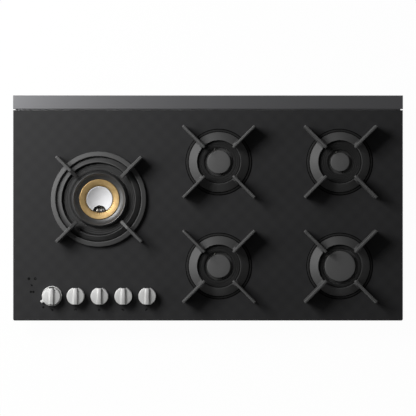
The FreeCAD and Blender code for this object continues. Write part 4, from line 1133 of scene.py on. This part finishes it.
# --- knobs ------------------------------------------------------------------------------------
@dataclass
class Knobs:
    """The five knobs, the ring round the first one and the rubber bushes."""

    bar_length: float = 37.0
    bar_foot: float = 5.9
    bar_top: float = 3.9
    notch_half: float = 6.0
    lever_angle: float = 209.0

    def __post_init__(self) -> None:
        """Reads the knobs' heights and radius from the frame."""
        first = extent("knob_1")
        self.bottom = first.low.z
        self.top = first.high.z
        self.disc_top = self.top - 7.0
        self.radius = first.radius

    def body(self) -> bpy.types.Object:
        """One knob round the origin: disc, grip bar, end notches and hollow underside."""
        bottom, top, deck = self.bottom, self.top, self.disc_top
        shell = self.radius - 2.7
        section = [(0.0, bottom + 11), (4.0, bottom + 11), (4.0, bottom), (7.0, bottom),
                   (7.0, deck - 3), (shell, deck - 3), (shell, bottom), (self.radius, bottom),
                   (self.radius - 0.2, deck - 0.8), (self.radius - 0.9, deck), (0.0, deck)]
        disc = turned("disc", (0.0, 0.0), eased(section, 0.4, closed=False), 128)
        end = self.bar_length / 2
        half, far = self.notch_half, self.radius + 1
        notches = [block("notch", (-half, start, bottom - 1), (half, stop, top + 1))
                   for start, stop in ((end, far), (-far, -end))]
        disc = combined(disc, notches, "DIFFERENCE")
        foot, ridge = self.bar_foot, self.bar_top
        outline = [(-foot, deck - 1), (foot, deck - 1), (ridge, top), (-ridge, top)]
        bar = bevelled(traced("bar", outline, -end, end, Sheet.UPRIGHT), 0.5, 3)
        return combined(disc, [bar], "UNION")

    def notch_shade_blocks(self, name: str, centre: Point) -> bpy.types.Object:
        """Black blocks in the notches at both ends of the grip bar, painted shade where the notch
        shows the dark underneath.
        """
        x, y = centre
        half = self.notch_half - 0.1
        near, far = self.bar_length / 2 - 0.1, self.bar_length / 2 + 0.8
        low, high = self.bottom + 1.0, self.disc_top - 1.2
        shade_blocks = [block("inset", (x - half, y + start, low), (x + half, y + stop, high))
                  for start, stop in ((near, far), (-far, -near))]
        return joined([bevelled(inset, 0.2) for inset in shade_blocks], name)

    def selector(self) -> bpy.types.Object:
        """The ring with its lever round the first knob."""
        centre = extent("knob_1").centre
        bore, tube, rim = 5.28, 6.8, 23.0
        low, floor, top = 46.0, 60.4, 66.0
        section = [(bore, low), (tube, low), (tube, floor), (rim - 0.4, floor), (rim, floor + 0.4),
                   (rim, top), (rim - 1.7, top), (rim - 1.7, floor + 1.2), (bore, floor + 1.2)]
        ring = turned("selector_ring", centre, eased(section, 0.3), 128)
        outline = [(22.0, -3.4), (28.4, -3.2), (29.0, -1.6), (29.2, 0.0), (29.0, 1.6), (28.4, 3.2),
                   (22.0, 3.4)]
        tab = bevelled(traced("tab", outline, top - 4, top), 0.5, 2)
        lever = around(tab, "lever", centre, [self.lever_angle])
        return combined(ring, [lever], "UNION")

    def build(self) -> None:
        """Models and dresses the knobs, the selector and the bushes."""
        model = self.body()
        for number in KNOB_NUMBERS:
            node = f"knob_{number}"
            centre = extent(node).centre
            piece = copied(model, f"knob_body_{number}", centre)
            dress(piece, KNOB_METAL, f"turn_{number}", node, centre=centre)
            # Black blocks in the bar's end notches paint the shade seen through them.
            dress(self.notch_shade_blocks(f"knob_insets_{number}", centre), BLACK_PLASTIC,
                  f"turn_{number}")
            bush = turned(f"knob_bush_{number}", centre, eased([
                (7.1, GLASS_TOP - 6), (8.0, GLASS_TOP - 6), (8.0, GLASS_TOP), (11.0, GLASS_TOP),
                (10.6, GLASS_TOP + 1), (7.1, GLASS_TOP + 1)], 0.25), 64)
            dress(bush, RUBBER, "cooktop", "knob_grommets")
        remove(model)
        dress(self.selector(), KNOB_METAL, "wok_selector", "wok_selector_ring",
              centre=extent("knob_1").centre)


# --- print on the glass -----------------------------------------------------------------------
@dataclass
class PanelPrint:
    """Dark printed signs on the glass, plain marks of the size that such signs have."""

    film: float = 0.06
    below_knob: float = 31.5
    above_knob: float = 39.5

    def dot(self, place: Point, radius: float) -> bpy.types.Object:
        """A printed disc."""
        return cylinder(place, radius, GLASS_TOP, GLASS_TOP + self.film)

    def loop(self, place: Point, outer: float, inner: float) -> bpy.types.Object:
        """A printed ring."""
        return turned("loop", place, rectangle(inner, outer, GLASS_TOP, GLASS_TOP + self.film), 32)

    def stroke(self, start: Point, end: Point, width: float) -> bpy.types.Object:
        """A printed bar between two points."""
        along = Vector(end) - Vector(start)
        across = Vector((-along.y, along.x)).normalized() * width / 2
        corners = [tuple(Vector(start) - across), tuple(Vector(end) - across),
                   tuple(Vector(end) + across), tuple(Vector(start) + across)]
        return traced("stroke", corners, GLASS_TOP, GLASS_TOP + self.film)

    def arch(self, place: Point, half: float, rise: float, width: float) -> list[bpy.types.Object]:
        """Two strokes that lean together over a point.

        Args:
            place: the middle of the sign.
            half: half of the sign's width.
            rise: the sign's height.
            width: width of its strokes.

        Returns:
            The two strokes and a round joint between them.
        """
        x, y = place
        apex = (x, y + rise / 2)
        feet = [(x - half, y - rise / 2), (x + half, y - rise / 2)]
        return [self.stroke(foot, apex, width) for foot in feet] + [self.dot(apex, width / 2)]

    def build(self) -> None:
        """Prints all signs as one thin film."""
        centres = [extent(f"knob_{number}").centre for number in KNOB_NUMBERS]
        line = centres[0][1] - self.below_knob
        first, second, third, fourth, fifth = (x for x, _ in centres)
        pieces = [self.dot((first + 0.8, line - 1.2), 2.2),
                  self.stroke((first - 3.6, line + 2.4), (first + 0.8, line - 0.4), 1.6),
                  *self.arch((second - 0.8, line), 3.4, 3.6, 1.8),
                  self.dot((third - 1.5, line - 1.2), 2.5),
                  self.stroke((fourth - 4.6, line + 1.4), (fourth + 1.0, line - 2.2), 3.0),
                  self.stroke((fifth - 5.0, line - 2.4), (fifth - 0.2, line + 2.0), 2.8),
                  self.dot((first - 20.1, line + 5.5), 2.5)]
        upper = centres[0][1] + self.above_knob
        pieces += [self.dot((first - 53.5, upper), 3.3),
                   self.loop((first - 39.0, upper), 3.3, 1.2),
                   self.dot((first - 46.6, upper - 15.2), 2.0),
                   self.stroke((first - 49.4, upper - 12.8), (first - 46.6, upper - 15.2), 1.8),
                   self.dot((first - 49.0, upper - 30.2), 2.7),
                   self.dot((first - 43.2, upper - 30.2), 2.7)]
        dress(joined(pieces, "panel_print"), PRINT_INK, "cooktop")


# --- fasteners and the gas inlet --------------------------------------------------------------
@dataclass
class Fasteners:
    """Pan-head screws with a cross recess, modelled once and set out."""

    head: float = 3.0
    shank: float = 1.8
    sides: int = 24
    frame_column: float = 418.0
    frame_rows: tuple[float, ...] = (-150.0, 0.0, 150.0)
    frame_height: float = 51.0
    clamp_columns: Point = (-300.0, 300.0)
    clamp_height: float = 9.0
    clamp_thickness: float = 2.0

    def screw(self, length: float) -> bpy.types.Object:
        """One screw standing on its head's underside at height 0."""
        head = self.head
        section = [(0.0, -length), (self.shank, -length), (self.shank, 0.0), (head - 0.1, 0.0),
                   (head, 0.4), (head - 0.4, 1.4), (head - 1.3, 2.0), (0.0, 2.2)]
        body = turned("screw", (0.0, 0.0), section, self.sides)
        arm, width, deep = 1.7, 0.42, 1.0
        slots = [block("slot", (-arm, -width, deep), (arm, width, 3.0)),
                 block("slot", (-width, -arm, deep), (width, arm, 3.0))]
        return combined(body, slots, "DIFFERENCE")

    def build(self) -> None:
        """Sets out the dish, frame and clamp screws as one piece."""
        long_screw = self.screw(6.8)
        short_screw = self.screw(1.8)
        floor = CUP_TOP + DISH_THICKNESS
        circles = [(extent("cap_" + name).centre, SCREW_CIRCLE_SMALL) for name in SMALL_NAMES]
        circles.append((extent("wok_flame_ring").centre, SCREW_CIRCLE_WOK))
        pieces = [copied(long_screw, "dish_screw", polar(centre, radius, angle), angle * 1.7, floor)
                  for centre, radius in circles for angle in TRIM_SCREW_ANGLES]
        pieces += [copied(short_screw, "frame_screw", (side * self.frame_column, row), 180.0,
                          self.frame_height, "X")
                   for side in (-1, 1) for row in self.frame_rows]
        tray = extent("burner_box")
        for side, wall in ((-1, tray.low.y), (1, tray.high.y)):
            outside = wall + side * self.clamp_thickness
            pieces += [copied(long_screw, "clamp_screw", (column, outside), -90.0 * side,
                              self.clamp_height, "X") for column in self.clamp_columns]
        remove(long_screw)
        remove(short_screw)
        dress(joined(pieces, "cross_screws"), STEEL_SHEET, "cooktop", "screws")


@dataclass
class GasInlet:
    """The brass inlet union, modelled upright and laid along Y: socket, nut and thread."""

    bore: float = 6.5
    socket: float = 11.0
    nut_flats: float = 26.0
    nut_height: float = 7.0
    relief: float = 9.4
    root: float = 9.32
    crest: float = 10.48
    pitch: float = 1.814

    def __post_init__(self) -> None:
        """Reads the union's place and length from the frame."""
        box = extent("gas_inlet")
        self.centre = box.centre[0], (box.low.z + box.high.z) / 2
        self.start = box.low.y
        self.length = box.high.y - box.low.y
        self.wall = extent("burner_box").high.y - box.low.y

    def thread(self, start: float, end: float) -> bpy.types.Object:
        """A helical ridge round the stub.

        Args:
            start: height where the thread starts.
            end: height where it ends.

        Returns:
            The closed ridge.
        """
        half = self.pitch * 0.46
        outline = [(self.root - 0.3, start), (self.crest, start + half - 0.12),
                   (self.crest, start + half + 0.12), (self.root - 0.3, start + 2 * half)]
        ridge = traced("ridge", outline, 0.0, 0.01, Sheet.UPRIGHT)
        edit(ridge, "FACE")
        bpy.ops.mesh.select_all(action="DESELECT")
        bpy.ops.object.mode_set(mode="OBJECT")
        for face in ridge.data.polygons:
            face.select = face.normal.y < 0.5
        bpy.ops.object.mode_set(mode="EDIT")
        bpy.ops.mesh.delete(type="FACE")
        bpy.ops.object.mode_set(mode="OBJECT")
        turns = int((end - start) / self.pitch) - 1
        finish_modifier(ridge, "SCREW", axis="Z", angle=2 * math.pi, steps=48, render_steps=48,
                        screw_offset=self.pitch * MM, iterations=turns, use_merge_vertices=False)
        edit(ridge)
        bpy.ops.mesh.remove_doubles(threshold=0.001 * MM)
        close_edit()
        return ridge

    def build(self) -> None:
        """Models the union upright, lays it along Y and dresses it."""
        nut_top = self.wall - 1.0
        nut_foot = nut_top - self.nut_height
        thread_start = self.wall + 1.5
        mouth, depth = 8.0, 8.0
        section = [(mouth, 0.0), (self.socket, 0.0), (self.socket, nut_foot),
                   (self.relief, nut_foot), (self.relief, thread_start),
                   (self.root, thread_start + 0.4), (self.root, self.length - 0.8),
                   (self.root - 0.8, self.length), (self.bore, self.length), (self.bore, depth),
                   (mouth, depth)]
        stub = turned("stub", (0.0, 0.0), eased(section, 0.2), 72)
        nut = bevelled(traced("nut", hexagon(self.nut_flats), nut_foot, nut_top), 0.6)
        hole = cylinder((0.0, 0.0), self.relief - 0.2, nut_foot - 1, nut_top + 1, 72)
        nut = combined(nut, [hole], "DIFFERENCE")
        thread = self.thread(thread_start + 0.3, self.length - 0.6)
        union = joined([stub, nut, thread], "gas_inlet_union")
        union.data.transform(
            Matrix.Translation((self.centre[0] * MM, self.start * MM, self.centre[1] * MM))
            @ Matrix.Rotation(-math.pi / 2, 4, "X"))
        dress(union, BRASS, "cooktop", "gas_inlet")


# --- what stays as the CAD made it ------------------------------------------------------------
CAD_FINISHES: dict[str, Finish | GlassFinish] = {
    "glass_panel": GLASS,
    "rear_trim": TRIM_METAL,
    "bonding_frame": STEEL_SHEET,
    "worktop_seal": SEAL_FOAM,
    "burner_box": TRAY_METAL,
    "worktop_clamps": STEEL_SHEET,
    "gas_manifold": STEEL_SHEET,
    "gas_inlet": BRASS,
    "cup_gaskets": GASKET,
    "gas_jets": BRASS,
    "spark_module": BLACK_PLASTIC,
    "spark_switches": BLACK_PLASTIC,
    "terminal_block": LIGHT_PLASTIC,
    "cable_gland": BLACK_PLASTIC,
    "wok_support_feet": RUBBER,
    **{"support_feet_" + name: RUBBER for name in SMALL_NAMES},
    **{f"tap_plunger_{number}": BRASS for number in KNOB_NUMBERS},
    **{f"spindle_{number}": STEEL_SHEET for number in KNOB_NUMBERS},
}


def dress_cad_nodes() -> None:
    """Gives every CAD node its finish, alloy where the table names none."""
    for name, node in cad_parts.items():
        finish = CAD_FINISHES.get(name, ALLOY)
        for place in node.material_slots:
            place.material = finish.material()


# --- studio -----------------------------------------------------------------------------------
@dataclass
class Studio:
    """Camera, lamps, floor and surroundings."""

    picture_width: float = 0.9606
    camera_height: float = 4.5
    sensor: float = 36.0
    key_place: tuple[float, float, float] = (-1.26, 0.80, 1.38)
    key_size: float = 0.9
    key_power: float = 35.0
    side_place: tuple[float, float, float] = (-1.65, -0.05, 0.58)
    side_size: float = 0.9
    side_power: float = 8.5
    floor_size: float = 12.0
    floor_drop: float = 0.0005
    floor_albedo: float = 0.92
    floor_glow: float = 0.975
    room_levels: tuple[Point, Point] = ((0.15, 0.16), (0.6, 0.07))

    def camera(self) -> None:
        """A long lens straight above the middle of the panel."""
        data = bpy.data.cameras.new("camera")
        data.sensor_width = self.sensor
        data.lens = self.sensor * self.camera_height / self.picture_width
        data.clip_end = 50.0
        camera = bpy.data.objects.new("camera", data)
        camera.location = (0.0, 0.0, GLASS_TOP * MM + self.camera_height)
        bpy.context.scene.collection.objects.link(camera)
        bpy.context.scene.camera = camera

    def lamp(self, name: str, place: tuple[float, float, float], size: float,
             power: float) -> None:
        """A square soft box that points at the panel."""
        data = bpy.data.lights.new(name, "AREA")
        data.size = size
        data.energy = power
        lamp = bpy.data.objects.new(name, data)
        lamp.location = place
        aim = Vector((0.0, 0.0, GLASS_TOP * MM)) - Vector(place)
        lamp.rotation_euler = aim.to_track_quat("-Z", "Y").to_euler()
        bpy.context.scene.collection.objects.link(lamp)

    def floor(self) -> None:
        """A pale floor that looks white where no shadow falls."""
        deselect_all()
        bpy.ops.mesh.primitive_plane_add(size=self.floor_size, location=(0, 0, -self.floor_drop))
        floor = bpy.context.object
        floor.name = "floor"
        bench = NodeBench(bpy.data.materials.new("studio_floor"))
        bench.set(bench.shader, {"Base Color": (*grey(self.floor_albedo), 1.0), "Roughness": 0.9,
                                 "Specular IOR Level": 0.0})
        rays = bench.add("ShaderNodeLightPath")
        seen = bench.math("MAXIMUM", rays.outputs["Is Camera Ray"], rays.outputs["Is Glossy Ray"])
        seen = bench.math("MAXIMUM", seen, rays.outputs["Is Transmission Ray"])
        glow = bench.add("ShaderNodeEmission", {"Color": (1.0, 1.0, 1.0, 1.0), "Strength": 1.0})
        mix = bench.add("ShaderNodeMixShader")
        bench.link(bench.math("MULTIPLY", seen, self.floor_glow), mix.inputs[0])
        bench.link(bench.shader.outputs[0], mix.inputs[1])
        bench.link(glow.outputs[0], mix.inputs[2])
        bench.link(mix.outputs[0], bench.tree.nodes["Material Output"].inputs["Surface"])
        floor.data.materials.append(bench.owner)

    def world(self) -> None:
        """A dim room, lighter near the horizon, that is white to the camera."""
        world = bpy.data.worlds.new("room")
        bpy.context.scene.world = world
        bench = NodeBench(world)
        rays = bench.add("ShaderNodeLightPath")
        parts = bench.add("ShaderNodeSeparateXYZ")
        bench.link(bench.add("ShaderNodeTexCoord").outputs["Generated"], parts.inputs[0])
        ramp = bench.add("ShaderNodeValToRGB")
        for index, (position, level) in enumerate(self.room_levels):
            ramp.color_ramp.elements[index].position = position
            ramp.color_ramp.elements[index].color = (*grey(level), 1.0)
        bench.link(parts.outputs["Z"], ramp.inputs[0])
        mix = bench.add("ShaderNodeMix", data_type="RGBA")
        bench.set(mix, {7: (1.0, 1.0, 1.0, 1.0)})
        bench.link(rays.outputs["Is Camera Ray"], mix.inputs[0])
        bench.link(ramp.outputs[0], mix.inputs[6])
        bench.link(mix.outputs[2], bench.shader.inputs["Color"])

    def build(self) -> None:
        """Sets up the whole studio."""
        bpy.context.scene.view_settings.view_transform = "Standard"
        self.camera()
        self.lamp("key", self.key_place, self.key_size, self.key_power)
        self.lamp("side", self.side_place, self.side_size, self.side_power)
        self.floor()
        self.world()


def main() -> None:
    """Builds the studio and every sub-assembly."""
    logging.basicConfig(level=logging.INFO, format="%(name)s: %(message)s")
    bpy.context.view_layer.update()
    dress_cad_nodes()
    Studio().build()
    Supports().build()
    burners = [SmallBurner("middle_rear", 108.0, 24), SmallBurner("middle_front", 108.0, 24),
               SmallBurner("right_front", 141.0, 30), SmallBurner("right_rear", 108.0, 20)]
    for burner in burners:
        burner.build()
    WokBurner().build()
    Knobs().build()
    PanelPrint().build()
    Fasteners().build()
    GasInlet().build()


if __name__ == "__main__":
    main()
